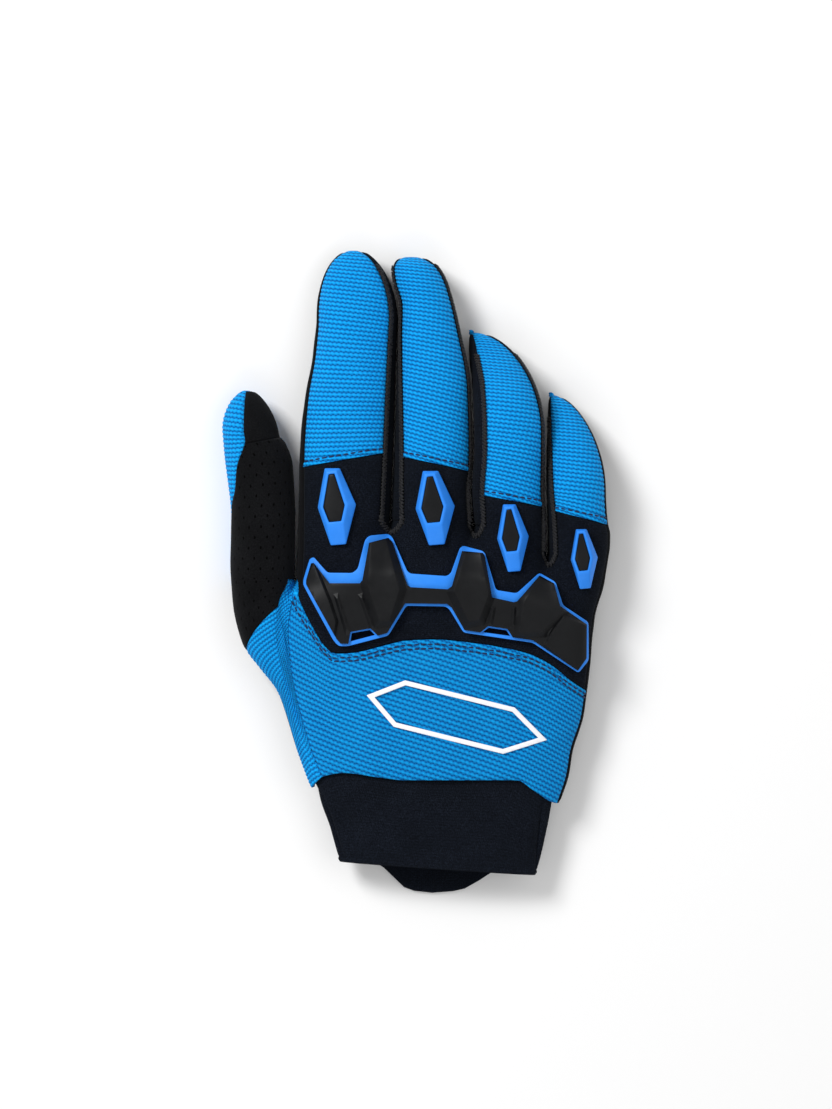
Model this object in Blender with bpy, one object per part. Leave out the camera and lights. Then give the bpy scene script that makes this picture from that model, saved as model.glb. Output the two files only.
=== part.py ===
"""A right-hand motocross glove that lies palm down.

Metres, +Z up, fingertips toward +Y, thumb toward -X. Each finger, and the thumb, is a ray: a tube with
sections at set distances along it. The hand is the smooth union of the rays and of one broad body. Every
sewn panel is a patch of that skin, thickened inward, with a narrow gap at its seams.
"""

import math
from collections import namedtuple

import bmesh
import bpy
from mathutils import Vector

# Sizes of the hand
HAND_WIDTH = 0.110
PALM_LENGTH = 0.092
CUFF_SEAM_Y = -0.0743
SIDE_SEAM_HEIGHT = 0.011
BACK_RISE = 0.0142
PALM_DROP = 0.0125

# Cloth walls
KNIT_WALL = 0.0012
KNUCKLE_WALL = 0.0012
STRIP_WALL = 0.0010
PALM_WALL = 0.0012
CUFF_WALL = 0.002
SEAM_GAP = 0.0004
FINGER_SLIT = 0.0005

# The turns of the side strips between the fingers
CROTCH_DEPTH = 0.004
VALLEY_OVERLAP = 0.004
VALLEY_RUN = 0.012
BODY_FADE = 0.020

# The wrist
CUFF_TUCK = 0.003
CUFF_INSET = 0.0021
CUFF_END_Y = -0.1042
TAB_LENGTH = 0.0115
TAB_WALL = 0.0016

# The moulded guards
GUARD_WIDTH = 0.1014
GUARD_HEIGHT = 0.0494
GUARD_X = 0.0107
GUARD_Y = -0.0114
GUARD_PLATE = 0.0020
CORE_PLATE = 0.0016
CORE_PAD = 0.0030
FINGER_GUARD_DEPTH = 0.0034
INLAY_POCKET = 0.0014
DRAPE_STEP = 0.0052
GUARD_STANDOFF = 0.0008
SLIVER = 0.00005

# Shapes of the sections
RAY_POWER = 2.2
BODY_POWER = 2.6
UNION_POWER = 4.0
SIDE_SEAM = 37.0

# Counts of panels in each part of the skin
BACK_ROWS = 4
KNUCKLE_ROWS = 4
GUSSET_ROWS = 2
GAP_COLUMNS = 4
SIDE_COLUMNS = 4
TOP_COLUMNS = 6
PALM_COLUMNS = 4
NOSE_TURNS = (20, 40, 58, 75)
CUFF_COLUMNS = 28


class Curve:
    """A smooth line through the rows of a short table, level beyond its ends and without overshoot."""

    def __init__(self, rows):
        self.at = [row[0] for row in rows]
        self.value = [row[1] for row in rows]
        steps = [
            (self.value[i + 1] - self.value[i]) / (self.at[i + 1] - self.at[i])
            for i in range(len(rows) - 1)
        ]
        self.slope = [steps[0]]
        for before, after in zip(steps, steps[1:]):
            level = before * after <= 0
            self.slope.append(0.0 if level else 2 * before * after / (before + after))
        self.slope.append(steps[-1])

    def __call__(self, t):
        if t <= self.at[0]:
            return self.value[0]
        if t >= self.at[-1]:
            return self.value[-1]
        i = max(k for k in range(len(self.at) - 1) if self.at[k] <= t)
        run = self.at[i + 1] - self.at[i]
        s = (t - self.at[i]) / run
        start = self.value[i] * (1 + 2 * s) * (1 - s) ** 2 + self.value[i + 1] * s * s * (3 - 2 * s)
        return start + run * s * (1 - s) * (self.slope[i] * (1 - s) - self.slope[i + 1] * s)


def blend(low, high, share):
    return low + (high - low) * share


def eased(share):
    share = min(max(share, 0.0), 1.0)
    return share * share * (3 - 2 * share)


# Lines of the hand below the crotches: columns are the share of the palm's length above the cuff seam,
# and the share of the hand's width from its middle.
THUMB_SIDE = (
    (-0.035, -0.343), (0.109, -0.388), (0.249, -0.424), (0.342, -0.453), (0.435, -0.511),
    (0.528, -0.566), (0.667, -0.595), (0.776, -0.603),
)
THUMB_CREASE = (
    (-0.011, -0.316), (0.136, -0.365), (0.330, -0.411), (0.430, -0.426), (0.570, -0.437),
    (0.688, -0.424), (0.776, -0.391),
)
INDEX_MIDDLE_LINE = ((0.0, -0.095), (1.0, -0.083))
MIDDLE_RING_LINE = ((0.0, 0.105), (0.986, 0.184))
RING_LITTLE_LINE = ((0.0, 0.306), (0.874, 0.425))
LITTLE_SIDE = (
    (-0.089, 0.469), (0.016, 0.498), (0.109, 0.511), (0.249, 0.547), (0.435, 0.566),
    (0.620, 0.582), (0.760, 0.612), (0.874, 0.629),
)

# Cuff seam across the wrist: share of the wrist's width, share of the palm's length above its base line.
CUFF_SEAM = Curve((
    (0.0, -0.035), (0.064, 0.012), (0.148, 0.027), (0.264, 0.012), (0.376, 0.0), (0.80, 0.0),
    (0.876, -0.043), (0.98, -0.091), (1.0, -0.093),
))
# Seam between back panel and knuckle panel: share of the hand's width, share of the palm's length.
KNUCKLE_SEAM = Curve((
    (0.0, 0.776), (0.034, 0.714), (0.060, 0.667), (0.107, 0.575), (0.130, 0.528), (0.165, 0.489),
    (0.220, 0.492), (0.400, 0.540), (0.477, 0.544), (0.610, 0.530), (0.790, 0.489), (0.867, 0.447),
    (0.955, 0.373), (1.0, 0.340),
))
# Lower edge of the thumb overlay, from the thumb's outer side to the crease.
OVERLAY_EDGE = ((0.0, 0.501), (1.0, 0.688))

# How the depth of a ray changes: share along it, rise above its middle and drop below it, as shares of
# its depth. Minus one is the cuff seam, 0 the crotch and 1 the fingertip.
RAY_SECTION = ("along", "rise", "drop")
RAY_SECTIONS = (
    (-1.0, 0.0, 0.0), (-0.6, 0.22, 0.22), (-0.25, 0.46, 0.42), (0.0, 0.54, 0.47),
    (0.3, 0.51, 0.43), (0.6, 0.48, 0.41), (1.0, 0.43, 0.37),
)
RAY_RISE = Curve([(row[0], row[1]) for row in RAY_SECTIONS])
RAY_DROP = Curve([(row[0], row[2]) for row in RAY_SECTIONS])
# How the body's rise changes from the cuff seam to the crotches, as a share of its rise at the knuckles.
BODY_RISE = Curve(((-0.1, 0.66), (0.0, 0.69), (0.25, 0.82), (0.5, 0.92), (0.8, 1.0), (1.0, 0.95)))
BODY_DROP = Curve(((-0.1, 0.90), (0.0, 0.92), (0.3, 1.0), (1.0, 1.0)))

RayPlan = namedtuple(
    "RayPlan",
    "name base length depth crotches sides left right arch seams panel_edge rows nose power lean",
)
# base and crotches (left, right) are shares of the palm's length; sides are the lines below the crotch;
# left and right list share along the ray and share of the hand's width; arch lists share along and share
# of depth; seams are the angles of the top panel's edges: left at the base and the tip, right likewise;
# panel_edge is where the knitted back starts, at its left and its right; rows are counts of mesh rows.
RAY_PLANS = (
    RayPlan(
        "thumb", 0.776, 0.0679, 0.0225, (0.776, 0.776), (THUMB_SIDE, THUMB_CREASE),
        ((0.106, -0.605), (0.331, -0.602), (0.616, -0.622), (0.753, -0.630), (1.0, -0.641)),
        ((0.317, -0.389), (0.600, -0.397), (0.705, -0.418), (0.769, -0.443), (1.0, -0.458)),
        ((0.0, 0.0), (0.5, 0.0), (1.0, -0.08)),
        (180.0, 100.0, 37.0, 37.0), (0.685, 0.745), (5, 1), 0.78, 1.7, 0.0,
    ),
    RayPlan(
        "index", 1.0, 0.0973, 0.0240, (0.776, 1.0), (THUMB_CREASE, INDEX_MIDDLE_LINE),
        ((0.0, -0.385), (0.217, -0.381), (0.434, -0.365), (0.609, -0.337), (0.742, -0.326), (1.0, -0.335)),
        ((0.081, -0.079), (0.312, -0.070), (0.668, -0.060), (0.742, -0.057), (1.0, -0.070)),
        ((0.0, 0.0), (0.45, 0.04), (1.0, -0.10)),
        (150.0, 168.0, 37.0, 35.0), (0.195, 0.254), (2, 4), 0.742, 2.0, 0.0,
    ),
    RayPlan(
        "middle", 0.993, 0.0954, 0.0245, (1.0, 0.986), (INDEX_MIDDLE_LINE, MIDDLE_RING_LINE),
        ((0.090, -0.079), (0.326, -0.070), (0.689, -0.060), (0.808, -0.055), (0.898, -0.074), (1.0, -0.100)),
        ((0.116, 0.178), (0.266, 0.186), (0.502, 0.180), (0.719, 0.145), (0.898, 0.104), (1.0, 0.070)),
        ((0.0, 0.0), (0.45, 0.10), (0.8, 0.0), (1.0, -0.12)),
        (134.0, 165.0, 24.0, 22.0), (0.252, 0.191), (2, 4), 0.85, 3.0, 0.0,
    ),
    RayPlan(
        "ring", 0.927, 0.0749, 0.0240, (0.986, 0.874), (MIDDLE_RING_LINE, RING_LITTLE_LINE),
        ((0.230, 0.178), (0.420, 0.186), (0.721, 0.180), (0.882, 0.166), (1.0, 0.162)),
        ((0.067, 0.4245), (0.267, 0.419), (0.491, 0.419), (1.0, 0.397)),
        ((0.0, 0.0), (0.25, 0.15), (0.50, 0.30), (0.65, 0.26), (0.85, 0.0), (1.0, -0.20)),
        (134.0, 130.0, 27.0, 24.0), (0.220, 0.156), (2, 4), 0.52, 2.0, 0.9,
    ),
    RayPlan(
        "little", 0.874, 0.0574, 0.0215, (0.874, 0.874), (RING_LITTLE_LINE, LITTLE_SIDE),
        ((0.172, 0.4245), (0.434, 0.419), (1.0, 0.419)),
        ((0.044, 0.631), (0.118, 0.631), (0.192, 0.6245), (0.385, 0.618), (1.0, 0.618)),
        ((0.0, 0.0), (0.25, 0.12), (0.45, 0.20), (0.60, 0.14), (0.85, -0.06), (1.0, -0.20)),
        (136.0, 155.0, 20.0, 14.0), (0.274, 0.180), (2, 3), 0.385, 1.8, 0.85,
    ),
)


def palm_y(share):
    return CUFF_SEAM_Y + share * PALM_LENGTH


class Ray:
    """One finger or the thumb, with its lines in metres."""

    def __init__(self, plan):
        self.plan = plan
        self.name = plan.name
        self.base_y = palm_y(plan.base)
        self.tip_y = self.base_y + plan.length
        self.nose_y = self.along_y(plan.nose)
        self.crotch = [palm_y(share) for share in plan.crotches]
        self.left = self.side_line(plan.sides[0], plan.left)
        self.right = self.side_line(plan.sides[1], plan.right)
        self.arch = Curve(plan.arch)
        self.base_row = BACK_ROWS if plan.name == "thumb" else BACK_ROWS + KNUCKLE_ROWS
        self.panel_row = self.base_row + plan.rows[0]
        self.nose_row = self.panel_row + plan.rows[1]
        self.last_row = self.nose_row + len(NOSE_TURNS)

    def side_line(self, palm_rows, ray_rows):
        below = [(palm_y(share), across * HAND_WIDTH) for share, across in palm_rows]
        above = [(self.along_y(share), across * HAND_WIDTH) for share, across in ray_rows]
        return Curve(below + above)

    def along_y(self, share):
        return self.base_y + share * self.plan.length

    def share_at(self, y):
        """Share along the ray: minus one at the cuff seam, 0 at the crotch and 1 at the tip."""
        if y >= self.base_y:
            return (y - self.base_y) / self.plan.length
        return (y - self.base_y) / (self.base_y - CUFF_SEAM_Y)

    def closing(self, y):
        """How far the fingertip has closed: 1 along the finger and 0 at the tip."""
        if y <= self.nose_y:
            return 1.0
        share = min((y - self.nose_y) / (self.tip_y - self.nose_y), 1.0)
        return (1 - share**self.plan.power) ** (1 / self.plan.power)

    def span(self, y):
        """Middle and half width at y."""
        low = self.left(y) + FINGER_SLIT / 2
        high = self.right(y) - FINGER_SLIT / 2
        half = (high - low) / 2
        closing = self.closing(y)
        middle = (low + high) / 2 - self.plan.lean * half * (1 - closing)
        return middle, half * closing

    def rise(self, y, side):
        depth = RAY_RISE if side > 0 else RAY_DROP
        return depth(self.share_at(y)) * self.plan.depth * self.closing(y)

    def middle_height(self, y):
        return SIDE_SEAM_HEIGHT + self.arch(max(self.share_at(y), 0.0)) * self.plan.depth


RAYS = [Ray(plan) for plan in RAY_PLANS]
THUMB, INDEX, MIDDLE, RING, LITTLE = RAYS
FINGERS = RAYS[1:]
CROTCH_LINE = Curve([(ray.right(ray.crotch[1]), ray.crotch[1]) for ray in (INDEX, MIDDLE, RING)])


def dome(x, low, high, power):
    """Height from 0 at both ends to 1 in the middle, as a superellipse."""
    if high <= low:
        return 0.0
    across = abs(2 * (x - low) / (high - low) - 1)
    return (1 - across**power) ** (1 / power) if across < 1 else 0.0


def body_ends(y):
    """The body's two sides: it takes over the thumb's base toward the cuff."""
    middle, half = INDEX.span(y)
    low = middle - half
    below = THUMB.base_y - y
    if below > 0:
        thumb_middle, thumb_half = THUMB.span(y)
        low = blend(low, thumb_middle - thumb_half, eased(below / (0.6 * PALM_LENGTH)))
    middle, half = LITTLE.span(y)
    return low, middle + half


def height(x, y, side):
    """Distance of the skin above (side 1) or below (side -1) the middle of the hand."""
    total = 0.0
    for ray in RAYS:
        middle, half = ray.span(y)
        low = middle - half
        high = middle + half
        if ray is not THUMB:
            low -= VALLEY_OVERLAP * eased((ray.crotch[0] - y) / VALLEY_RUN)
        if ray is not LITTLE:
            high += VALLEY_OVERLAP * eased((ray.crotch[1] - y) / VALLEY_RUN)
        total += (ray.rise(y, side) * dome(x, low, high, RAY_POWER)) ** UNION_POWER
    fade = eased((CROTCH_LINE(x) - y) / BODY_FADE)
    if fade > 0:
        low, high = body_ends(y)
        share = (y - CUFF_SEAM_Y) / PALM_LENGTH
        most = BACK_RISE * BODY_RISE(share) if side > 0 else PALM_DROP * BODY_DROP(share)
        total += (most * fade * dome(x, low, high, BODY_POWER)) ** UNION_POWER
    return total ** (1 / UNION_POWER)


def rounded(angle):
    """Sine and cosine of a superellipse of RAY_POWER at an angle in degrees."""
    c = math.cos(math.radians(angle))
    s = math.sin(math.radians(angle))
    across = math.copysign(abs(c) ** (2 / RAY_POWER), c) if abs(c) > 1e-9 else 0.0
    up = math.copysign(abs(s) ** (2 / RAY_POWER), s) if abs(s) > 1e-9 else 0.0
    return across, up


def skin(ray, x, y, side):
    """Point of the skin, and its outward normal, above or below (x, y) on a ray."""
    reach = height(x, y, side)
    z = ray.middle_height(y) + side * reach
    if z <= 0:
        return Vector((x, y, 0.0)), Vector((0, 0, -1))
    step = 0.0002
    power = RAY_POWER

    def bulk(px, py):
        return (height(px, py, side) * 1000) ** power

    over_x = (bulk(x + step, y) - bulk(x - step, y)) / (2000 * step)
    over_y = (bulk(x, y + step) - bulk(x, y - step)) / (2000 * step)
    lean = (ray.middle_height(y + step) - ray.middle_height(y - step)) / (2 * step)
    up = power * (reach * 1000) ** (power - 1)
    normal = Vector((-over_x, -over_y - side * lean * up, side * up))
    return Vector((x, y, z)), normal.normalized()


def top_of(ray, x, y):
    return ray.middle_height(y) + height(x, y, 1)


# Slots run round a ray's section: over the top from its left seam to its right seam, down the right
# side, back across the palm, and up the left side.
RIGHT_SLOT = TOP_COLUMNS
PALM_SLOT = TOP_COLUMNS + SIDE_COLUMNS
LEFT_SLOT = PALM_SLOT + PALM_COLUMNS
ALL_SLOTS = LEFT_SLOT + SIDE_COLUMNS
# Where the thumb's blue back starts: share along the thumb, angle.
THUMB_SEAM = Curve(((0.0, 180.0), (0.35, 176.0), (0.48, 142.0), (0.61, 127.0), (0.75, 101.0), (1.0, 96.0)))


def slot_angle(ray, slot, share):
    share = min(max(share, 0.0), 1.0)
    left_base, left_tip, right_base, right_tip = ray.plan.seams
    left = THUMB_SEAM(share) if ray is THUMB else blend(left_base, left_tip, share)
    right = blend(right_base, right_tip, share)
    slot = slot % ALL_SLOTS
    if slot <= RIGHT_SLOT:
        return blend(left, right, slot / TOP_COLUMNS)
    if slot <= PALM_SLOT:
        return blend(right, -SIDE_SEAM, (slot - RIGHT_SLOT) / SIDE_COLUMNS)
    if slot <= LEFT_SLOT:
        return blend(-SIDE_SEAM, SIDE_SEAM - 180, (slot - PALM_SLOT) / PALM_COLUMNS)
    return blend(SIDE_SEAM - 180, left - 360, (slot - LEFT_SLOT) / SIDE_COLUMNS)


def across_hand(ray, across, y_share, sides):
    """Share of the way across the hand, at a set distance above the cuff seam."""
    y = palm_y(y_share)
    middle, half = ray.span(y)
    left_middle, left_half = sides.span(y)
    right_middle, right_half = LITTLE.span(y)
    low = left_middle - left_half
    return (middle + half * across - low) / (right_middle + right_half - low)


def crotch_y(ray, across):
    """The crotch row: level beside each crotch, and sloped across the finger."""
    return blend(ray.crotch[0], ray.crotch[1], eased((across * 0.5 + 0.5 - 0.12) / 0.76))


def row_y(ray, row, across):
    """The y of a mesh row where the section's share across is from -1 to 1."""
    seam_y = palm_y(CUFF_SEAM(across_hand(ray, across, 0.0, THUMB)))
    share = across * 0.5 + 0.5
    if row <= BACK_ROWS:
        if ray is not THUMB:
            knuckle_y = palm_y(KNUCKLE_SEAM(across_hand(ray, across, 0.45, INDEX)))
            return blend(seam_y, knuckle_y, row / BACK_ROWS)
        edge_y = palm_y(blend(OVERLAY_EDGE[0][1], OVERLAY_EDGE[1][1], share))
        if row <= GUSSET_ROWS:
            return blend(seam_y, edge_y, row / GUSSET_ROWS)
        return blend(edge_y, ray.base_y, (row - GUSSET_ROWS) / (BACK_ROWS - GUSSET_ROWS))
    if row <= ray.base_row:
        knuckle_y = palm_y(KNUCKLE_SEAM(across_hand(ray, across, 0.45, INDEX)))
        return blend(knuckle_y, crotch_y(ray, across), (row - BACK_ROWS) / KNUCKLE_ROWS)
    base_y = ray.base_y if ray is THUMB else crotch_y(ray, across)
    panel_y = ray.along_y(blend(ray.plan.panel_edge[0], ray.plan.panel_edge[1], share))
    if row <= ray.panel_row:
        return blend(base_y, panel_y, (row - ray.base_row) / ray.plan.rows[0])
    if row <= ray.nose_row:
        return blend(panel_y, ray.nose_y, (row - ray.panel_row) / ray.plan.rows[1])
    turn = math.sin(math.radians(NOSE_TURNS[row - ray.nose_row - 1]))
    return blend(ray.nose_y, ray.tip_y, turn)


SKIN_POINTS = {}


def ray_point(ray, slot, row):
    """Point and normal at a slot and row of a ray."""
    key = (ray.name, slot % ALL_SLOTS, row)
    if key not in SKIN_POINTS:
        share = ray.share_at(row_y(ray, row, 0.0))
        across, up = rounded(slot_angle(ray, slot, share))
        y = row_y(ray, row, across)
        middle, half = ray.span(y)
        SKIN_POINTS[key] = skin(ray, middle + half * across, y, 1 if up >= 0 else -1)
    return SKIN_POINTS[key]


def gap_point(left_ray, column, row, side):
    """Point of the web between two rays, on the back (side 1) or in the palm (side -1)."""
    right_ray = RAYS[RAYS.index(left_ray) + 1]
    left_slot = RIGHT_SLOT if side > 0 else PALM_SLOT
    right_slot = 0 if side > 0 else LEFT_SLOT
    start = ray_point(left_ray, left_slot, row)[0]
    end = ray_point(right_ray, right_slot, row)[0]
    share = column / GAP_COLUMNS
    turn = math.pi * share
    first_row = GUSSET_ROWS if left_ray is THUMB else BACK_ROWS
    bend = max(row - first_row, 0) / (left_ray.base_row - first_row)
    y = blend(start.y, end.y, share) - CROTCH_DEPTH * math.sin(turn) * bend**1.5
    point, normal = skin(left_ray, blend(start.x, end.x, share), y, side)
    if row == left_ray.base_row:
        normal = (normal + Vector((0, 1, 0))).normalized()
    return point, normal


def turn_point(left_ray, column, level):
    """Point of a side strip where it turns round a crotch, from the back (level 0) down to the palm."""
    right_ray = RAYS[RAYS.index(left_ray) + 1]
    row = left_ray.base_row
    left_slot = RIGHT_SLOT + level
    right_slot = ALL_SLOTS - level
    start = ray_point(left_ray, left_slot, row)[0]
    end = ray_point(right_ray, right_slot, row)[0]
    share = column / GAP_COLUMNS
    turn = math.pi * share
    back = gap_point(left_ray, column, row, 1)[0]
    palm = gap_point(left_ray, column, row, -1)[0]
    height_share = blend(level_share(left_ray, left_slot, level), level_share(right_ray, right_slot, level), share)
    limit = back if height_share >= 0 else palm
    depth = CROTCH_DEPTH * (0.15 + 0.85 * abs(height_share) ** 1.5)
    y = blend(start.y, end.y, share) - depth * math.sin(turn)
    z = blend(SIDE_SEAM_HEIGHT, limit.z, abs(height_share))
    return Vector((blend(start.x, end.x, share), y, z))


def level_share(ray, slot, level):
    """Height of a side slot as a share of its seam's: 1 at the back's seam and -1 at the palm's."""
    up = rounded(slot_angle(ray, slot, 0.0))[1]
    seam = RIGHT_SLOT if slot <= PALM_SLOT else ALL_SLOTS
    if up < 0:
        seam = PALM_SLOT if slot <= PALM_SLOT else LEFT_SLOT
    limit = abs(rounded(slot_angle(ray, seam, 0.0))[1])
    return up / limit


def tip_point(ray):
    middle, half = ray.span(ray.tip_y)
    return Vector((middle, ray.tip_y, ray.middle_height(ray.tip_y))), Vector((0, 1, 0))


def point_of(key):
    """Point and outward normal of a mesh key."""
    if key in SKIN_POINTS:
        return SKIN_POINTS[key]
    kind = key[0]
    if kind == "ray":
        found = ray_point(key[1], key[2], key[3])
    elif kind == "gap":
        found = gap_point(*key[1:])
    elif kind == "tip":
        found = tip_point(key[1])
    else:
        left_ray, column, level = key[1:]
        along = turn_point(left_ray, column + 1, level) - turn_point(left_ray, column - 1, level)
        down = turn_point(left_ray, column, level + 1) - turn_point(left_ray, column, level - 1)
        found = (turn_point(left_ray, column, level), along.cross(down).normalized())
    SKIN_POINTS[key] = found
    return found


class Patch:
    """A sewn panel: a list of faces over keys of the skin."""

    def __init__(self):
        self.faces = []

    def grid(self, columns, rows):
        """Quads between columns and rows. A column is a function from a row to a key."""
        for low, high in zip(rows, rows[1:]):
            for left, right in zip(columns, columns[1:]):
                self.faces.append((left(low), right(low), right(high), left(high)))

    def cap(self, ray):
        """Closes the fingertip."""
        for slot in range(ALL_SLOTS):
            left = ray_key(ray, slot, ray.last_row)
            right = ray_key(ray, slot + 1, ray.last_row)
            self.faces.append((left, right, ("tip", ray)))


def ray_key(ray, slot, row):
    return ("ray", ray, slot % ALL_SLOTS, row)


def ray_columns(ray, first, last):
    return [lambda row, slot=slot: ray_key(ray, slot, row) for slot in range(first, last + 1)]


def gap_columns(left_ray, side):
    """The columns inside a gap, from left to right on the back and from right to left in the palm."""
    order = range(1, GAP_COLUMNS) if side > 0 else range(GAP_COLUMNS - 1, 0, -1)
    return [lambda row, column=column: ("gap", left_ray, column, row, side) for column in order]


def turn_key(left_ray, column, level):
    """Key of a strip's turn, which shares its rim with the panels round it."""
    right_ray = RAYS[RAYS.index(left_ray) + 1]
    if column == 0:
        return ray_key(left_ray, RIGHT_SLOT + level, left_ray.base_row)
    if column == GAP_COLUMNS:
        return ray_key(right_ray, ALL_SLOTS - level, left_ray.base_row)
    if level == 0:
        return ("gap", left_ray, column, left_ray.base_row, 1)
    if level == SIDE_COLUMNS:
        return ("gap", left_ray, column, left_ray.base_row, -1)
    return ("turn", left_ray, column, level)


def solid_from(name, patch, wall):
    """Thickens a patch inward and draws its rim back by half a seam gap."""
    keys = list(dict.fromkeys(key for face in patch.faces for key in face))
    number = {key: i for i, key in enumerate(keys)}
    outer = [point_of(key)[0].copy() for key in keys]
    normal = [point_of(key)[1] for key in keys]
    faces = [[number[key] for key in face] for face in patch.faces]
    edges = {}
    for face in faces:
        for a, b in zip(face, face[1:] + face[:1]):
            edges[(a, b)] = True
    rim = [edge for edge in edges if (edge[1], edge[0]) not in edges]
    inward = {}
    for a, b in rim:
        along = outer[b] - outer[a]
        for end in (a, b):
            inward.setdefault(end, []).append(normal[end].cross(along).normalized())
    shifts = {}
    for end, sides in inward.items():
        first = sides[0]
        second = sides[-1]
        share = max(1 + first.dot(second), 0.5)
        shifts[end] = (first + second) / share * (SEAM_GAP / 2)
    for end, shift in shifts.items():
        outer[end] += shift
    inner = [point - direction * wall for point, direction in zip(outer, normal)]
    count = len(keys)
    triangles = []
    for face in faces:
        for i in range(1, len(face) - 1):
            a, b, c = face[0], face[i], face[i + 1]
            triangles.append((a, b, c))
            triangles.append((a + count, c + count, b + count))
    for a, b in rim:
        triangles.append((b, a, a + count))
        triangles.append((b, a + count, b + count))
    return add_mesh(name, outer + inner, triangles)


def add_mesh(name, points, faces):
    mesh = bpy.data.meshes.new(name)
    mesh.from_pydata([tuple(point) for point in points], [], faces)
    mesh.validate()
    mesh.shade_smooth()
    mesh.set_sharp_from_angle(angle=math.radians(50))
    made = bpy.data.objects.new(name, mesh)
    bpy.context.scene.collection.objects.link(made)
    return made


Finish = namedtuple("Finish", "colour roughness metallic")
BLUE_KNIT = Finish((0.006, 0.235, 0.66), 0.85, 0.0)
BLACK_KNIT = Finish((0.006, 0.008, 0.013), 0.9, 0.0)
BLACK_SUEDE = Finish((0.007, 0.007, 0.008), 0.95, 0.0)
BLUE_RUBBER = Finish((0.045, 0.31, 0.95), 0.5, 0.0)
BLACK_RUBBER = Finish((0.022, 0.023, 0.027), 0.45, 0.0)


def give_finish(thing, finish):
    material = bpy.data.materials.new(thing.name)
    material.use_nodes = True
    shader = material.node_tree.nodes["Principled BSDF"]
    shader.inputs["Base Color"].default_value = (*finish.colour, 1.0)
    shader.inputs["Roughness"].default_value = finish.roughness
    shader.inputs["Metallic"].default_value = finish.metallic
    thing.data.materials.clear()
    thing.data.materials.append(material)
    return thing


def finger_columns_on_top(rays):
    """Columns over the back of neighbouring rays, with the gaps between them."""
    columns = []
    for ray in rays:
        if columns:
            columns += gap_columns(RAYS[RAYS.index(ray) - 1], 1)
        columns += ray_columns(ray, 0, RIGHT_SLOT)
    return columns


def make_knuckle_panel():
    patch = Patch()
    base_row = INDEX.base_row
    patch.grid(finger_columns_on_top(FINGERS), range(BACK_ROWS, base_row + 1))
    for ray in FINGERS:
        patch.grid(ray_columns(ray, 0, RIGHT_SLOT), range(base_row, ray.panel_row + 1))
    return give_finish(solid_from("knuckle_panel", patch, KNUCKLE_WALL), BLACK_KNIT)


def make_back_panel():
    patch = Patch()
    patch.grid(finger_columns_on_top(FINGERS), range(0, BACK_ROWS + 1))
    return give_finish(solid_from("back_panel", patch, KNIT_WALL), BLUE_KNIT)


def make_finger_back(ray):
    patch = Patch()
    patch.grid(ray_columns(ray, 0, RIGHT_SLOT), range(ray.panel_row, ray.last_row + 1))
    patch.cap(ray)
    return give_finish(solid_from(ray.name + "_back", patch, KNIT_WALL), BLUE_KNIT)


def make_fourchette(left_ray):
    """The side strip of two neighbouring fingers, in one piece round the crotch."""
    right_ray = RAYS[RAYS.index(left_ray) + 1]
    patch = Patch()
    patch.grid(ray_columns(left_ray, RIGHT_SLOT, PALM_SLOT), range(left_ray.base_row, left_ray.last_row + 1))
    patch.grid(ray_columns(right_ray, LEFT_SLOT, ALL_SLOTS), range(right_ray.base_row, right_ray.last_row + 1))
    add_turn(patch, left_ray)
    name = f"fourchette_{left_ray.name}_{right_ray.name}"
    return give_finish(solid_from(name, patch, STRIP_WALL), BLACK_KNIT)


def add_turn(patch, left_ray):
    for column in range(GAP_COLUMNS):
        for level in range(SIDE_COLUMNS):
            patch.faces.append((
                turn_key(left_ray, column, level),
                turn_key(left_ray, column + 1, level),
                turn_key(left_ray, column + 1, level + 1),
                turn_key(left_ray, column, level + 1),
            ))


def make_palm():
    """The palm, the finger fronts, and the wraps up the hand's two outer sides."""
    patch = Patch()
    columns = ray_columns(LITTLE, RIGHT_SLOT, LEFT_SLOT)
    for left_ray in reversed(RAYS[1:4]):
        columns += gap_columns(left_ray, -1)
        columns += ray_columns(left_ray, PALM_SLOT, LEFT_SLOT)
    patch.grid(columns, range(0, INDEX.base_row + 1))
    thumb_side = ray_columns(INDEX, LEFT_SLOT, LEFT_SLOT) + gap_columns(THUMB, -1)
    patch.grid(thumb_side + ray_columns(THUMB, PALM_SLOT, ALL_SLOTS), range(0, BACK_ROWS + 1))
    patch.grid(ray_columns(INDEX, LEFT_SLOT, ALL_SLOTS), range(BACK_ROWS, INDEX.last_row + 1))
    for ray in (INDEX, MIDDLE, RING):
        patch.grid(ray_columns(ray, PALM_SLOT, LEFT_SLOT), range(ray.base_row, ray.last_row + 1))
    patch.grid(ray_columns(LITTLE, RIGHT_SLOT, LEFT_SLOT), range(LITTLE.base_row, LITTLE.last_row + 1))
    return give_finish(solid_from("palm", patch, PALM_WALL), BLACK_SUEDE)


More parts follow.
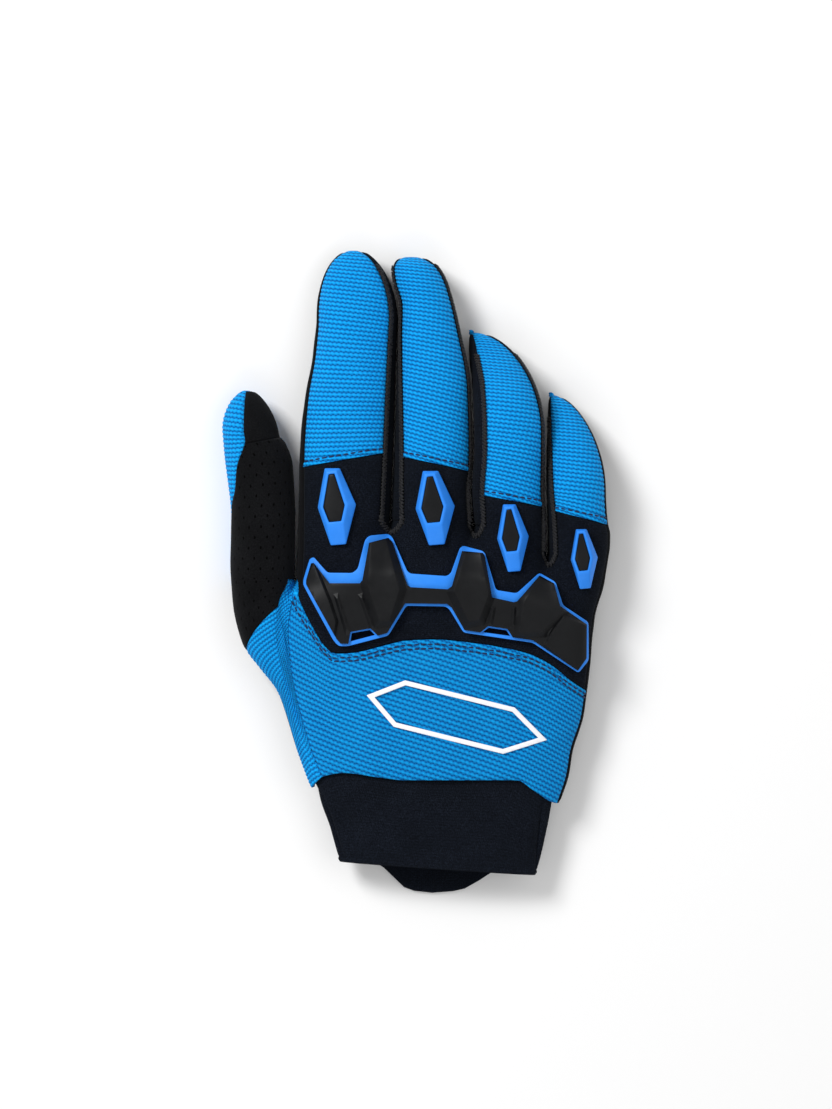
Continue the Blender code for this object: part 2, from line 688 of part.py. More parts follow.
def make_thumb():
    gusset = Patch()
    columns = ray_columns(THUMB, 0, RIGHT_SLOT) + gap_columns(THUMB, 1) + ray_columns(INDEX, 0, 0)
    gusset.grid(columns[: TOP_COLUMNS + 1], range(0, GUSSET_ROWS + 1))
    gusset.grid(columns[TOP_COLUMNS:], range(0, BACK_ROWS + 1))
    give_finish(solid_from("thumb_gusset", gusset, STRIP_WALL), BLUE_KNIT)

    overlay = Patch()
    overlay.grid(ray_columns(THUMB, 0, RIGHT_SLOT), range(GUSSET_ROWS, THUMB.base_row + 1))
    overlay.grid(ray_columns(THUMB, 0, PALM_SLOT), range(THUMB.base_row, THUMB.panel_row + 1))
    give_finish(solid_from("thumb_palm", overlay, PALM_WALL), BLACK_SUEDE)

    tip = Patch()
    tip.grid(ray_columns(THUMB, 0, PALM_SLOT), range(THUMB.panel_row, THUMB.last_row + 1))
    give_finish(solid_from("thumb_tip", tip, PALM_WALL), BLACK_SUEDE)

    back = Patch()
    back.grid(ray_columns(THUMB, PALM_SLOT, ALL_SLOTS), range(THUMB.base_row, THUMB.last_row + 1))
    back.cap(THUMB)
    give_finish(solid_from("thumb_back", back, KNIT_WALL), BLUE_KNIT)

    web = Patch()
    add_turn(web, THUMB)
    give_finish(solid_from("thumb_web", web, STRIP_WALL), BLUE_KNIT)


# The cuff's rows: share of the way from the wrist seam to its free end, and how far its left and right
# sides and its top and bottom draw in from the seam, as shares of the hand's width.
CuffRow = namedtuple("CuffRow", "along left right top bottom")
CUFF_ROWS = (
    CuffRow(0.0, 0.0, 0.0, 0.0, 0.0),
    CuffRow(0.25, 0.018, 0.004, 0.002, -0.004),
    CuffRow(0.60, 0.055, 0.012, 0.006, -0.006),
    CuffRow(1.0, 0.090, 0.026, 0.012, 0.0),
)


def make_cuff():
    """A stretchy tube that starts inside the wrist seam and is open at its end."""
    rows = []
    for row in CUFF_ROWS:
        ring = []
        for column in range(CUFF_COLUMNS):
            angle = 2 * math.pi * column / CUFF_COLUMNS
            ring.append(cuff_point(row, angle))
        rows.append(ring)
    points = [point for ring in rows for point, _ in ring]
    inner = [point - normal * CUFF_WALL for ring in rows for point, normal in ring]
    triangles = []
    count = len(points)

    def quad(a, b, c, d):
        triangles.append((a, b, c))
        triangles.append((a, c, d))

    for r in range(len(rows) - 1):
        for column in range(CUFF_COLUMNS):
            after = (column + 1) % CUFF_COLUMNS
            a = r * CUFF_COLUMNS + column
            b = r * CUFF_COLUMNS + after
            quad(a, b, b + CUFF_COLUMNS, a + CUFF_COLUMNS)
            quad(b + count, a + count, a + CUFF_COLUMNS + count, b + CUFF_COLUMNS + count)
    last = (len(rows) - 1) * CUFF_COLUMNS
    for column in range(CUFF_COLUMNS):
        after = (column + 1) % CUFF_COLUMNS
        quad(after, column, column + count, after + count)
        quad(last + column, last + after, last + after + count, last + column + count)
    return give_finish(add_mesh("cuff", points + inner, triangles), BLACK_KNIT)


def cuff_point(row, angle):
    """Point and normal of the cuff's outer face, on a section that is flat where it rests."""
    c = math.cos(angle)
    s = math.sin(angle)
    across = math.copysign(abs(c) ** (2 / BODY_POWER), c)
    up = math.copysign(abs(s) ** (2 / BODY_POWER), s)
    start_y = palm_y(CUFF_SEAM((across + 1) / 2)) + CUFF_TUCK
    y = blend(start_y, CUFF_END_Y, row.along)
    share = (y - CUFF_SEAM_Y) / PALM_LENGTH
    low, high = body_ends(max(y, palm_y(-0.09)))
    low += CUFF_INSET + row.left * HAND_WIDTH
    high -= CUFF_INSET + row.right * HAND_WIDTH
    if up >= 0:
        rise = BACK_RISE * BODY_RISE(share) - CUFF_INSET - row.top * HAND_WIDTH
    else:
        rise = PALM_DROP * BODY_DROP(share) - CUFF_INSET - row.bottom * HAND_WIDTH
    half = (high - low) / 2
    point = Vector(((low + high) / 2 + half * across, y, SIDE_SEAM_HEIGHT + rise * up))
    lowest = CUFF_INSET if row.along < 0.2 else TAB_WALL + 2 * SEAM_GAP
    normal = Vector((abs(across) ** (BODY_POWER - 1) * math.copysign(1, c) / half, 0.0,
                     abs(up) ** (BODY_POWER - 1) * math.copysign(1, s) / rise)).normalized()
    if point.z < lowest:
        point.z = lowest
        normal = Vector((0, 0, -1))
    return point, normal


# Outline of the pull tab: share across the wrist, share of its length below the cuff's end.
TAB_OUTLINE = (
    (0.27, -0.55), (0.77, -0.55), (0.77, 0.30), (0.64, 0.86), (0.54, 1.0), (0.43, 0.90), (0.30, 0.25),
)


def make_pull_tab():
    low, high = body_ends(palm_y(0.0))
    outline = [
        (blend(low, high, across), CUFF_END_Y - below * TAB_LENGTH) for across, below in TAB_OUTLINE
    ]
    mesh = stack([(outline, 0.0), (outline, TAB_WALL)])
    return give_finish(mesh_object("pull_tab", mesh), BLACK_KNIT)


def stack(rings):
    """A closed mesh through flat rings of equal counts, given from the lowest to the highest."""
    mesh = bmesh.new()
    made = [[mesh.verts.new((x, y, z)) for x, y in outline] for outline, z in rings]
    count = len(made[0])
    for lower, upper in zip(made, made[1:]):
        for i in range(count):
            j = (i + 1) % count
            mesh.faces.new((lower[i], lower[j], upper[j], upper[i]))
    mesh.faces.new(list(reversed(made[0])))
    mesh.faces.new(made[-1])
    bmesh.ops.recalc_face_normals(mesh, faces=mesh.faces)
    return mesh


def drape(mesh, ray, lift):
    """Cuts a flat-bottomed mesh into small cells and lays it on the back of the hand."""
    for axis in (0, 1):
        ends = [vertex.co[axis] for vertex in mesh.verts]
        cuts = int((max(ends) - min(ends)) / DRAPE_STEP) + 1
        for i in range(1, cuts):
            plane = Vector((0, 0, 0))
            plane[axis] = blend(min(ends), max(ends), i / cuts)
            direction = Vector((0, 0, 0))
            direction[axis] = 1
            geometry = mesh.verts[:] + mesh.edges[:] + mesh.faces[:]
            bmesh.ops.bisect_plane(mesh, geom=geometry, dist=1e-6, plane_co=plane, plane_no=direction)
    bmesh.ops.triangulate(mesh, faces=mesh.faces)
    bmesh.ops.dissolve_degenerate(mesh, dist=SLIVER, edges=mesh.edges)
    for vertex in mesh.verts:
        vertex.co.z += top_of(ray, vertex.co.x, vertex.co.y) + lift
    return mesh


def mesh_object(name, mesh):
    data = bpy.data.meshes.new(name)
    mesh.to_mesh(data)
    mesh.free()
    data.shade_smooth()
    data.set_sharp_from_angle(angle=math.radians(30))
    made = bpy.data.objects.new(name, data)
    bpy.context.scene.collection.objects.link(made)
    return made


# Outline of a finger guard, anticlockwise: shares of its width and of its height.
GUARD_HEX = ((-0.158, -0.5), (0.237, -0.484), (0.5, 0.03), (0.079, 0.5), (-0.316, 0.5), (-0.5, -0.01))
INLAY_HEX = ((-0.20, -0.20), (0.12, -0.185), (0.21, 0.02), (-0.06, 0.43), (-0.21, 0.42), (-0.355, -0.005))

FingerGuard = namedtuple("FingerGuard", "ray x y width height")
# Places and sizes as the moulded pieces have them.
FINGER_GUARDS = (
    FingerGuard(INDEX, -0.0280, 0.0227, 0.0136, 0.0273),
    FingerGuard(MIDDLE, 0.0068, 0.0222, 0.0139, 0.0263),
    FingerGuard(RING, 0.0343, 0.0116, 0.0112, 0.0239),
    FingerGuard(LITTLE, 0.0596, 0.0042, 0.0096, 0.0212),
)


def placed(outline, centre_x, centre_y, width, tall):
    return [(centre_x + across * width, centre_y + along * tall) for across, along in outline]


def drawn_in(outline, distance):
    """The outline moved inward by a distance, corner by corner."""
    points = [Vector(point) for point in outline]
    count = len(points)
    moved = []
    for i, point in enumerate(points):
        before = (point - points[i - 1]).normalized()
        after = (points[(i + 1) % count] - point).normalized()
        first = Vector((-before.y, before.x))
        second = Vector((-after.y, after.x))
        shift = (first + second) / max(1 + first.dot(second), 0.4) * distance
        moved.append((point.x + shift.x, point.y + shift.y))
    return moved


def make_finger_guard(guard):
    outline = placed(GUARD_HEX, guard.x, guard.y, guard.width, guard.height)
    pocket = placed(INLAY_HEX, guard.x, guard.y, guard.width, guard.height)
    deep = FINGER_GUARD_DEPTH
    rings = [
        (outline, 0.0),
        (outline, deep * 0.35),
        (drawn_in(outline, 0.0013), deep),
        (pocket, deep),
        (pocket, deep - INLAY_POCKET),
    ]
    frame = drape(stack(rings), guard.ray, GUARD_STANDOFF)
    give_finish(mesh_object(guard.ray.name + "_guard", frame), BLUE_RUBBER)
    plug = drawn_in(pocket, SEAM_GAP)
    floor = deep - INLAY_POCKET + SEAM_GAP
    rings = [(plug, floor), (plug, deep - 0.0003), (drawn_in(plug, 0.0006), deep + 0.0002)]
    inlay = drape(stack(rings), guard.ray, GUARD_STANDOFF)
    give_finish(mesh_object(guard.ray.name + "_inlay", inlay), BLACK_RUBBER)


# Outline of the knuckle guard, clockwise: shares of its width and of its height from its middle.
KNUCKLE_GUARD_OUTLINE = (
    (-0.463, 0.332), (-0.414, 0.219), (-0.326, 0.217), (-0.308, 0.249), (-0.283, 0.455),
    (-0.269, 0.484), (-0.202, 0.498), (-0.188, 0.473), (-0.136, 0.231), (-0.125, 0.213),
    (0.002, 0.195), (0.016, 0.217), (0.048, 0.397), (0.060, 0.412), (0.127, 0.375),
    (0.136, 0.354), (0.171, 0.108), (0.178, 0.094), (0.245, 0.072), (0.326, 0.219),
    (0.382, 0.152), (0.407, -0.014), (0.498, -0.137), (0.500, -0.412), (0.463, -0.502),
    (0.301, -0.282), (0.060, -0.209), (0.011, -0.043), (-0.003, -0.022), (-0.139, -0.017),
    (-0.202, -0.231), (-0.343, -0.307), (-0.375, -0.307), (-0.393, -0.267), (-0.500, 0.133),
    (-0.500, 0.166), (-0.477, 0.318),
)
# Outline of the black core that lies on it, clockwise.
CORE_OUTLINE = (
    (-0.463, 0.289), (-0.407, 0.144), (-0.301, 0.144), (-0.292, 0.166), (-0.269, 0.433),
    (-0.202, 0.469), (-0.188, 0.440), (-0.136, 0.133), (-0.125, 0.116), (0.005, 0.101),
    (0.019, 0.123), (0.055, 0.375), (0.127, 0.361), (0.134, 0.339), (0.159, 0.043),
    (0.234, 0.009), (0.246, 0.014), (0.326, 0.199), (0.375, 0.144), (0.396, -0.018),
    (0.491, -0.152), (0.491, -0.397), (0.460, -0.484), (0.301, -0.264), (0.063, -0.191),
    (0.018, -0.029), (0.002, -0.004), (-0.143, 0.000), (-0.206, -0.213), (-0.343, -0.289),
    (-0.368, -0.289), (-0.382, -0.256), (-0.489, 0.137), (-0.489, 0.166), (-0.472, 0.285),
)
# Raised pads of the core, anticlockwise.
CORE_PADS = (
    ((-0.235, -0.18), (-0.200, -0.10), (-0.165, 0.10), (-0.205, 0.430), (-0.258, 0.420), (-0.272, 0.12)),
    ((0.068, -0.15), (0.110, -0.15), (0.139, 0.06), (0.120, 0.330), (0.070, 0.340), (0.030, 0.07)),
    ((0.255, -0.20), (0.335, -0.25), (0.385, -0.03), (0.330, 0.15), (0.265, -0.01)),
    ((-0.365, -0.25), (-0.290, -0.23), (-0.330, 0.11), (-0.455, 0.13)),
)


def guard_outline(shares):
    return placed(shares, GUARD_X, GUARD_Y, GUARD_WIDTH, GUARD_HEIGHT)


def make_knuckle_guard():
    outline = guard_outline(reversed(KNUCKLE_GUARD_OUTLINE))
    plate = drape(stack([(outline, 0.0), (outline, GUARD_PLATE)]), MIDDLE, GUARD_STANDOFF)
    give_finish(mesh_object("knuckle_guard", plate), BLUE_RUBBER)
    outline = guard_outline(reversed(CORE_OUTLINE))
    core = mesh_object("core_plate", stack([(outline, 0.0), (outline, CORE_PLATE)]))
    for i, shares in enumerate(CORE_PADS):
        foot = guard_outline(shares)
        top = drawn_in(foot, 0.0022)
        pad = mesh_object(f"core_pad_{i}", stack([(foot, CORE_PLATE / 2), (top, CORE_PLATE + CORE_PAD)]))
        pad.hide_render = True
        pad.display_type = "WIRE"
        join = core.modifiers.new(f"pad_{i}", "BOOLEAN")
        join.operation = "UNION"
        join.object = pad
    joined = bmesh.new()
    joined.from_object(core, bpy.context.evaluated_depsgraph_get())
    for thing in [core, *[join.object for join in core.modifiers]]:
        bpy.data.objects.remove(thing)
    lift = GUARD_STANDOFF + GUARD_PLATE + GUARD_STANDOFF
    give_finish(mesh_object("knuckle_guard_core", drape(joined, MIDDLE, lift)), BLACK_RUBBER)


def centre_on_origin():
    """Puts the middle of the glove's footprint on the origin."""
    bpy.context.view_layer.update()
    corners = [
        thing.matrix_world @ vertex.co for thing in bpy.data.objects for vertex in thing.data.vertices
    ]
    shift_x = -(max(c.x for c in corners) + min(c.x for c in corners)) / 2
    shift_y = -(max(c.y for c in corners) + min(c.y for c in corners)) / 2
    for thing in bpy.data.objects:
        thing.location = (shift_x, shift_y, 0.0)


def main():
    for thing in list(bpy.data.objects):
        bpy.data.objects.remove(thing)
    make_back_panel()
    make_knuckle_panel()
    for ray in FINGERS:
        make_finger_back(ray)
    for ray in (INDEX, MIDDLE, RING):
        make_fourchette(ray)
    make_palm()
    make_thumb()
    make_cuff()
    make_pull_tab()
    make_knuckle_guard()
    for guard in FINGER_GUARDS:
        make_finger_guard(guard)
    centre_on_origin()


main()
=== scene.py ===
"""The look of a right-hand motocross glove that lies palm down on a pale floor.

The cloth is sampled finely from the same hand surface that the glove is cut to: five finger tubes and a
broad body, smoothly joined. Each sewn panel gets its ribs, seams, hems and folds as real relief.
"""

import math
from collections import namedtuple

import bmesh
import bpy
import numpy as np
from bpy.props import FloatProperty, FloatVectorProperty, PointerProperty
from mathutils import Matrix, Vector, kdtree, noise


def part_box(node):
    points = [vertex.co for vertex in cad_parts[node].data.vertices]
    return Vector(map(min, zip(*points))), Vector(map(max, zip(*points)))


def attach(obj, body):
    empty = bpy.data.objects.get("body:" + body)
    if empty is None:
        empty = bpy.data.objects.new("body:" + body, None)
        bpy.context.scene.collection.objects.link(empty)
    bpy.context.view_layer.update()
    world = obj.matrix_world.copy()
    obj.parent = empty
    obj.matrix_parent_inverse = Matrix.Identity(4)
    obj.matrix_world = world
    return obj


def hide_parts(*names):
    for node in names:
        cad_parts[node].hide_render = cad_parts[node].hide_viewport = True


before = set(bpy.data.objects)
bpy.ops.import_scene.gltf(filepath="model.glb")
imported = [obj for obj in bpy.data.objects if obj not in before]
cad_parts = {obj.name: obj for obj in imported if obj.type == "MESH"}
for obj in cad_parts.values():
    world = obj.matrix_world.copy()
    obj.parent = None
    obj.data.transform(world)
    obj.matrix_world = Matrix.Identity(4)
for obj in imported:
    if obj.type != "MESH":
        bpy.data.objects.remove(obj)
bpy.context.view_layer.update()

bl_info = {
    "name": "Motocross Glove",
    "version": (1, 0, 0),
    "blender": (4, 5, 0),
    "location": "3D View > Sidebar > Glove",
    "description": "Dresses a motocross glove in ribbed knit, suede and moulded guards",
    "category": "Object",
}

BODY = "root"
MM = 0.001

# Sizes of the hand, as it is cut
HAND_WIDTH = 0.110
PALM_LENGTH = 0.092
CUFF_SEAM_Y = -0.0743
SIDE_SEAM_HEIGHT = 0.011
BACK_RISE = 0.0142
PALM_DROP = 0.0125
FINGER_SLIT = 0.0005
CROTCH_DEPTH = 0.004
VALLEY_OVERLAP = 0.004
VALLEY_RUN = 0.012
BODY_FADE = 0.020
CUFF_TUCK = 0.003
CUFF_INSET = 0.0021
CUFF_END_Y = -0.1042
TAB_LENGTH = 0.0115
TAB_WALL = 0.0016
GUARD_WIDTH = 0.1014
GUARD_HEIGHT = 0.0494
GUARD_X = 0.0107
GUARD_Y = -0.0114
RAY_POWER = 2.2
BODY_POWER = 2.6
UNION_POWER = 4.0
WEB_POWER = 1.5
SIDE_SEAM = 37.0
# Share of a finger's width at each side where its crotch row stays level.
CROTCH_LEVEL = 0.12
# Share of the palm's length over which the body's side passes from the index finger to the thumb.
THUMB_MERGE = 0.6
# Depth of a side strip's turn halfway down, as a share of its depth at the back.
TURN_LEAST = 0.15
# Share of the palm's length at which the knuckle seam's place across the hand is read.
KNUCKLE_LEVEL = 0.45

# Counts of panels in the pattern of the skin
BACK_ROWS = 4
KNUCKLE_ROWS = 4
GUSSET_ROWS = 2
GAP_COLUMNS = 4
TOP_COLUMNS = 6
SIDE_COLUMNS = 4
PALM_COLUMNS = 4
RIGHT_SLOT = TOP_COLUMNS
PALM_SLOT = RIGHT_SLOT + SIDE_COLUMNS
LEFT_SLOT = PALM_SLOT + PALM_COLUMNS
ALL_SLOTS = LEFT_SLOT + SIDE_COLUMNS
NOSE_TURNS = (0, 20, 40, 58, 75, 90)
STRIP_END = 4
# A fingertip's cap ends just short of the tip's single point.
CAP_END = 4.98


class Curve:
    """A smooth line through the rows of a short table, level beyond its ends and without overshoot."""

    def __init__(self, rows):
        self.at = np.array([row[0] for row in rows], float)
        self.value = np.array([row[1] for row in rows], float)
        steps = np.diff(self.value) / np.diff(self.at)
        inner = [0.0 if a * b <= 0 else 2 * a * b / (a + b) for a, b in zip(steps, steps[1:])]
        self.slope = np.array([steps[0], *inner, steps[-1]])

    def __call__(self, t):
        t = np.clip(t, self.at[0], self.at[-1])
        i = np.clip(np.searchsorted(self.at, t, side="right") - 1, 0, len(self.at) - 2)
        run = self.at[i + 1] - self.at[i]
        s = (t - self.at[i]) / run
        start = self.value[i] * (1 + 2 * s) * (1 - s) ** 2 + self.value[i + 1] * s * s * (3 - 2 * s)
        return start + run * s * (1 - s) * (self.slope[i] * (1 - s) - self.slope[i + 1] * s)


def blend(low, high, share):
    return low + (high - low) * share


def eased(share):
    share = np.clip(share, 0.0, 1.0)
    return share * share * (3 - 2 * share)


# Lines of the hand below the crotches: share of the palm's length above the cuff seam, share of the
# hand's width from its middle.
THUMB_SIDE = (
    (-0.035, -0.343), (0.109, -0.388), (0.249, -0.424), (0.342, -0.453), (0.435, -0.511),
    (0.528, -0.566), (0.667, -0.595), (0.776, -0.603),
)
THUMB_CREASE = (
    (-0.011, -0.316), (0.136, -0.365), (0.330, -0.411), (0.430, -0.426), (0.570, -0.437),
    (0.688, -0.424), (0.776, -0.391),
)
INDEX_MIDDLE_LINE = ((0.0, -0.095), (1.0, -0.083))
MIDDLE_RING_LINE = ((0.0, 0.105), (0.986, 0.184))
RING_LITTLE_LINE = ((0.0, 0.306), (0.874, 0.425))
LITTLE_SIDE = (
    (-0.089, 0.469), (0.016, 0.498), (0.109, 0.511), (0.249, 0.547), (0.435, 0.566),
    (0.620, 0.582), (0.760, 0.612), (0.874, 0.629),
)
# Seams: share across the hand, share of the palm's length above the cuff seam's level.
CUFF_SEAM = Curve((
    (0.0, -0.035), (0.064, 0.012), (0.148, 0.027), (0.264, 0.012), (0.376, 0.0), (0.80, 0.0),
    (0.876, -0.043), (0.98, -0.091), (1.0, -0.093),
))
KNUCKLE_SEAM = Curve((
    (0.0, 0.776), (0.034, 0.714), (0.060, 0.667), (0.107, 0.575), (0.130, 0.528), (0.165, 0.489),
    (0.220, 0.492), (0.400, 0.540), (0.477, 0.544), (0.610, 0.530), (0.790, 0.489), (0.867, 0.447),
    (0.955, 0.373), (1.0, 0.340),
))
OVERLAY_EDGE = ((0.0, 0.501), (1.0, 0.688))

# Share along a ray, rise above its middle and drop below it as shares of its depth. Minus one is the
# cuff seam, 0 the crotch and 1 the fingertip.
RAY_SECTIONS = (
    (-1.0, 0.0, 0.0), (-0.6, 0.22, 0.22), (-0.25, 0.46, 0.42), (0.0, 0.54, 0.47),
    (0.3, 0.51, 0.43), (0.6, 0.48, 0.41), (1.0, 0.43, 0.37),
)
RAY_RISE = Curve([(row[0], row[1]) for row in RAY_SECTIONS])
RAY_DROP = Curve([(row[0], row[2]) for row in RAY_SECTIONS])
BODY_RISE = Curve(((-0.1, 0.66), (0.0, 0.69), (0.25, 0.82), (0.5, 0.92), (0.8, 1.0), (1.0, 0.95)))
BODY_DROP = Curve(((-0.1, 0.90), (0.0, 0.92), (0.3, 1.0), (1.0, 1.0)))
THUMB_SEAM = Curve(((0.0, 180.0), (0.35, 176.0), (0.48, 142.0), (0.61, 127.0), (0.75, 101.0), (1.0, 96.0)))

RayPlan = namedtuple(
    "RayPlan",
    "name base length depth crotches sides left right arch seams panel_edge rows nose power lean",
)
RAY_PLANS = (
    RayPlan(
        "thumb", 0.776, 0.0679, 0.0225, (0.776, 0.776), (THUMB_SIDE, THUMB_CREASE),
        ((0.106, -0.605), (0.331, -0.602), (0.616, -0.622), (0.753, -0.630), (1.0, -0.641)),
        ((0.317, -0.389), (0.600, -0.397), (0.705, -0.418), (0.769, -0.443), (1.0, -0.458)),
        ((0.0, 0.0), (0.5, 0.0), (1.0, -0.08)),
        (180.0, 100.0, 37.0, 37.0), (0.685, 0.745), (5, 1), 0.78, 1.7, 0.0,
    ),
    RayPlan(
        "index", 1.0, 0.0973, 0.0240, (0.776, 1.0), (THUMB_CREASE, INDEX_MIDDLE_LINE),
        ((0.0, -0.385), (0.217, -0.381), (0.434, -0.365), (0.609, -0.337), (0.742, -0.326), (1.0, -0.335)),
        ((0.081, -0.079), (0.312, -0.070), (0.668, -0.060), (0.742, -0.057), (1.0, -0.070)),
        ((0.0, 0.0), (0.45, 0.04), (1.0, -0.10)),
        (150.0, 168.0, 37.0, 35.0), (0.195, 0.254), (2, 4), 0.742, 2.0, 0.0,
    ),
    RayPlan(
        "middle", 0.993, 0.0954, 0.0245, (1.0, 0.986), (INDEX_MIDDLE_LINE, MIDDLE_RING_LINE),
        ((0.090, -0.079), (0.326, -0.070), (0.689, -0.060), (0.808, -0.055), (0.898, -0.074), (1.0, -0.100)),
        ((0.116, 0.178), (0.266, 0.186), (0.502, 0.180), (0.719, 0.145), (0.898, 0.104), (1.0, 0.070)),
        ((0.0, 0.0), (0.45, 0.10), (0.8, 0.0), (1.0, -0.12)),
        (134.0, 165.0, 24.0, 22.0), (0.252, 0.191), (2, 4), 0.85, 3.0, 0.0,
    ),
    RayPlan(
        "ring", 0.927, 0.0749, 0.0240, (0.986, 0.874), (MIDDLE_RING_LINE, RING_LITTLE_LINE),
        ((0.230, 0.178), (0.420, 0.186), (0.721, 0.180), (0.882, 0.166), (1.0, 0.162)),
        ((0.067, 0.4245), (0.267, 0.419), (0.491, 0.419), (1.0, 0.397)),
        ((0.0, 0.0), (0.25, 0.15), (0.50, 0.30), (0.65, 0.26), (0.85, 0.0), (1.0, -0.20)),
        (134.0, 130.0, 27.0, 24.0), (0.220, 0.156), (2, 4), 0.52, 2.0, 0.9,
    ),
    RayPlan(
        "little", 0.874, 0.0574, 0.0215, (0.874, 0.874), (RING_LITTLE_LINE, LITTLE_SIDE),
        ((0.172, 0.4245), (0.434, 0.419), (1.0, 0.419)),
        ((0.044, 0.631), (0.118, 0.631), (0.192, 0.6245), (0.385, 0.618), (1.0, 0.618)),
        ((0.0, 0.0), (0.25, 0.12), (0.45, 0.20), (0.60, 0.14), (0.85, -0.06), (1.0, -0.20)),
        (136.0, 155.0, 20.0, 14.0), (0.274, 0.180), (2, 3), 0.385, 1.8, 0.85,
    ),
)


def palm_y(share):
    return CUFF_SEAM_Y + share * PALM_LENGTH


class Ray:
    """One finger or the thumb, with its lines in metres."""

    def __init__(self, plan):
        self.plan = plan
        self.name = plan.name
        self.base_y = palm_y(plan.base)
        self.tip_y = self.base_y + plan.length
        self.nose_y = self.along_y(plan.nose)
        self.crotch = [palm_y(share) for share in plan.crotches]
        self.left = self.side_line(plan.sides[0], plan.left)
        self.right = self.side_line(plan.sides[1], plan.right)
        self.arch = Curve(plan.arch)
        self.base_row = BACK_ROWS if plan.name == "thumb" else BACK_ROWS + KNUCKLE_ROWS
        self.panel_row = self.base_row + plan.rows[0]
        self.nose_row = self.panel_row + plan.rows[1]

    def side_line(self, palm_rows, ray_rows):
        below = [(palm_y(share), across * HAND_WIDTH) for share, across in palm_rows]
        above = [(self.along_y(share), across * HAND_WIDTH) for share, across in ray_rows]
        return Curve(below + above)

    def along_y(self, share):
        return self.base_y + share * self.plan.length

    def share_at(self, y):
        above = (y - self.base_y) / self.plan.length
        below = (y - self.base_y) / (self.base_y - CUFF_SEAM_Y)
        return np.where(y >= self.base_y, above, below)

    def closing(self, y):
        share = np.clip((y - self.nose_y) / (self.tip_y - self.nose_y), 0.0, 1.0)
        return (1 - share**self.plan.power) ** (1 / self.plan.power)

    def span(self, y):
        low = self.left(y) + FINGER_SLIT / 2
        high = self.right(y) - FINGER_SLIT / 2
        half = (high - low) / 2
        closing = self.closing(y)
        return (low + high) / 2 - self.plan.lean * half * (1 - closing), half * closing

    def rise(self, y, side):
        depth = RAY_RISE if side > 0 else RAY_DROP
        return depth(self.share_at(y)) * self.plan.depth * self.closing(y)

    def middle_height(self, y):
        return SIDE_SEAM_HEIGHT + self.arch(np.maximum(self.share_at(y), 0.0)) * self.plan.depth


RAYS = [Ray(plan) for plan in RAY_PLANS]
THUMB, INDEX, MIDDLE, RING, LITTLE = RAYS
FINGERS = RAYS[1:]
CROTCH_LINE = Curve([(float(ray.right(ray.crotch[1])), ray.crotch[1]) for ray in (INDEX, MIDDLE, RING)])


def dome(x, low, high, power):
    width = np.maximum(high - low, 1e-9)
    across = np.minimum(np.abs(2 * (x - low) / width - 1), 1.0)
    return np.where(high > low, (1 - across**power) ** (1 / power), 0.0)


def body_ends(y):
    """The body's two sides: it takes over the thumb's base toward the cuff."""
    middle, half = INDEX.span(y)
    thumb_middle, thumb_half = THUMB.span(y)
    share = eased((THUMB.base_y - y) / (THUMB_MERGE * PALM_LENGTH))
    low = blend(middle - half, thumb_middle - thumb_half, share)
    middle, half = LITTLE.span(y)
    return low, middle + half


def height(x, y, side):
    """Distance of the skin above (side 1) or below (side -1) the middle of the hand."""
    total = 0.0
    for ray in RAYS:
        middle, half = ray.span(y)
        low = middle - half
        high = middle + half
        if ray is not THUMB:
            low = low - VALLEY_OVERLAP * eased((ray.crotch[0] - y) / VALLEY_RUN)
        if ray is not LITTLE:
            high = high + VALLEY_OVERLAP * eased((ray.crotch[1] - y) / VALLEY_RUN)
        total = total + (ray.rise(y, side) * dome(x, low, high, RAY_POWER)) ** UNION_POWER
    fade = eased((CROTCH_LINE(x) - y) / BODY_FADE)
    low, high = body_ends(y)
    share = (y - CUFF_SEAM_Y) / PALM_LENGTH
    most = BACK_RISE * BODY_RISE(share) if side > 0 else PALM_DROP * BODY_DROP(share)
    total = total + (most * fade * dome(x, low, high, BODY_POWER)) ** UNION_POWER
    return total ** (1 / UNION_POWER)


def rounded(angle):
    """Sine and cosine of a superellipse of RAY_POWER at an angle in degrees."""
    c = np.cos(np.radians(angle))
    s = np.sin(np.radians(angle))
    return np.sign(c) * np.abs(c) ** (2 / RAY_POWER), np.sign(s) * np.abs(s) ** (2 / RAY_POWER)


def on_skin(ray, x, y, side):
    """Points of the skin above (side 1) or below (side -1) the places (x, y)."""
    z = ray.middle_height(y) + np.where(side > 0, height(x, y, 1), -height(x, y, -1))
    return np.stack(np.broadcast_arrays(x, y, np.maximum(z, 0.0)), axis=-1)


def top_of(ray, x, y):
    return ray.middle_height(y) + height(x, y, 1)


def slot_angle(ray, slot, share):
    """Angle of a slot round a section: the back from its left seam, the right side, palm, left side."""
    share = np.clip(share, 0.0, 1.0)
    left_base, left_tip, right_base, right_tip = ray.plan.seams
    left = THUMB_SEAM(share) if ray is THUMB else blend(left_base, left_tip, share)
    right = blend(right_base, right_tip, share)
    slot = np.mod(slot, ALL_SLOTS)
    return np.select(
        [slot <= RIGHT_SLOT, slot <= PALM_SLOT, slot <= LEFT_SLOT],
        [
            blend(left, right, slot / TOP_COLUMNS),
            blend(right, -SIDE_SEAM, (slot - RIGHT_SLOT) / SIDE_COLUMNS),
            blend(-SIDE_SEAM, SIDE_SEAM - 180, (slot - PALM_SLOT) / PALM_COLUMNS),
        ],
        blend(SIDE_SEAM - 180, left - 360, (slot - LEFT_SLOT) / SIDE_COLUMNS),
    )


def across_hand(ray, across, y_share, sides):
    """Share of the way across the hand, at a set distance above the cuff seam."""
    y = palm_y(y_share)
    middle, half = ray.span(y)
    left_middle, left_half = sides.span(y)
    right_middle, right_half = LITTLE.span(y)
    low = left_middle - left_half
    return (middle + half * across - low) / (right_middle + right_half - low)


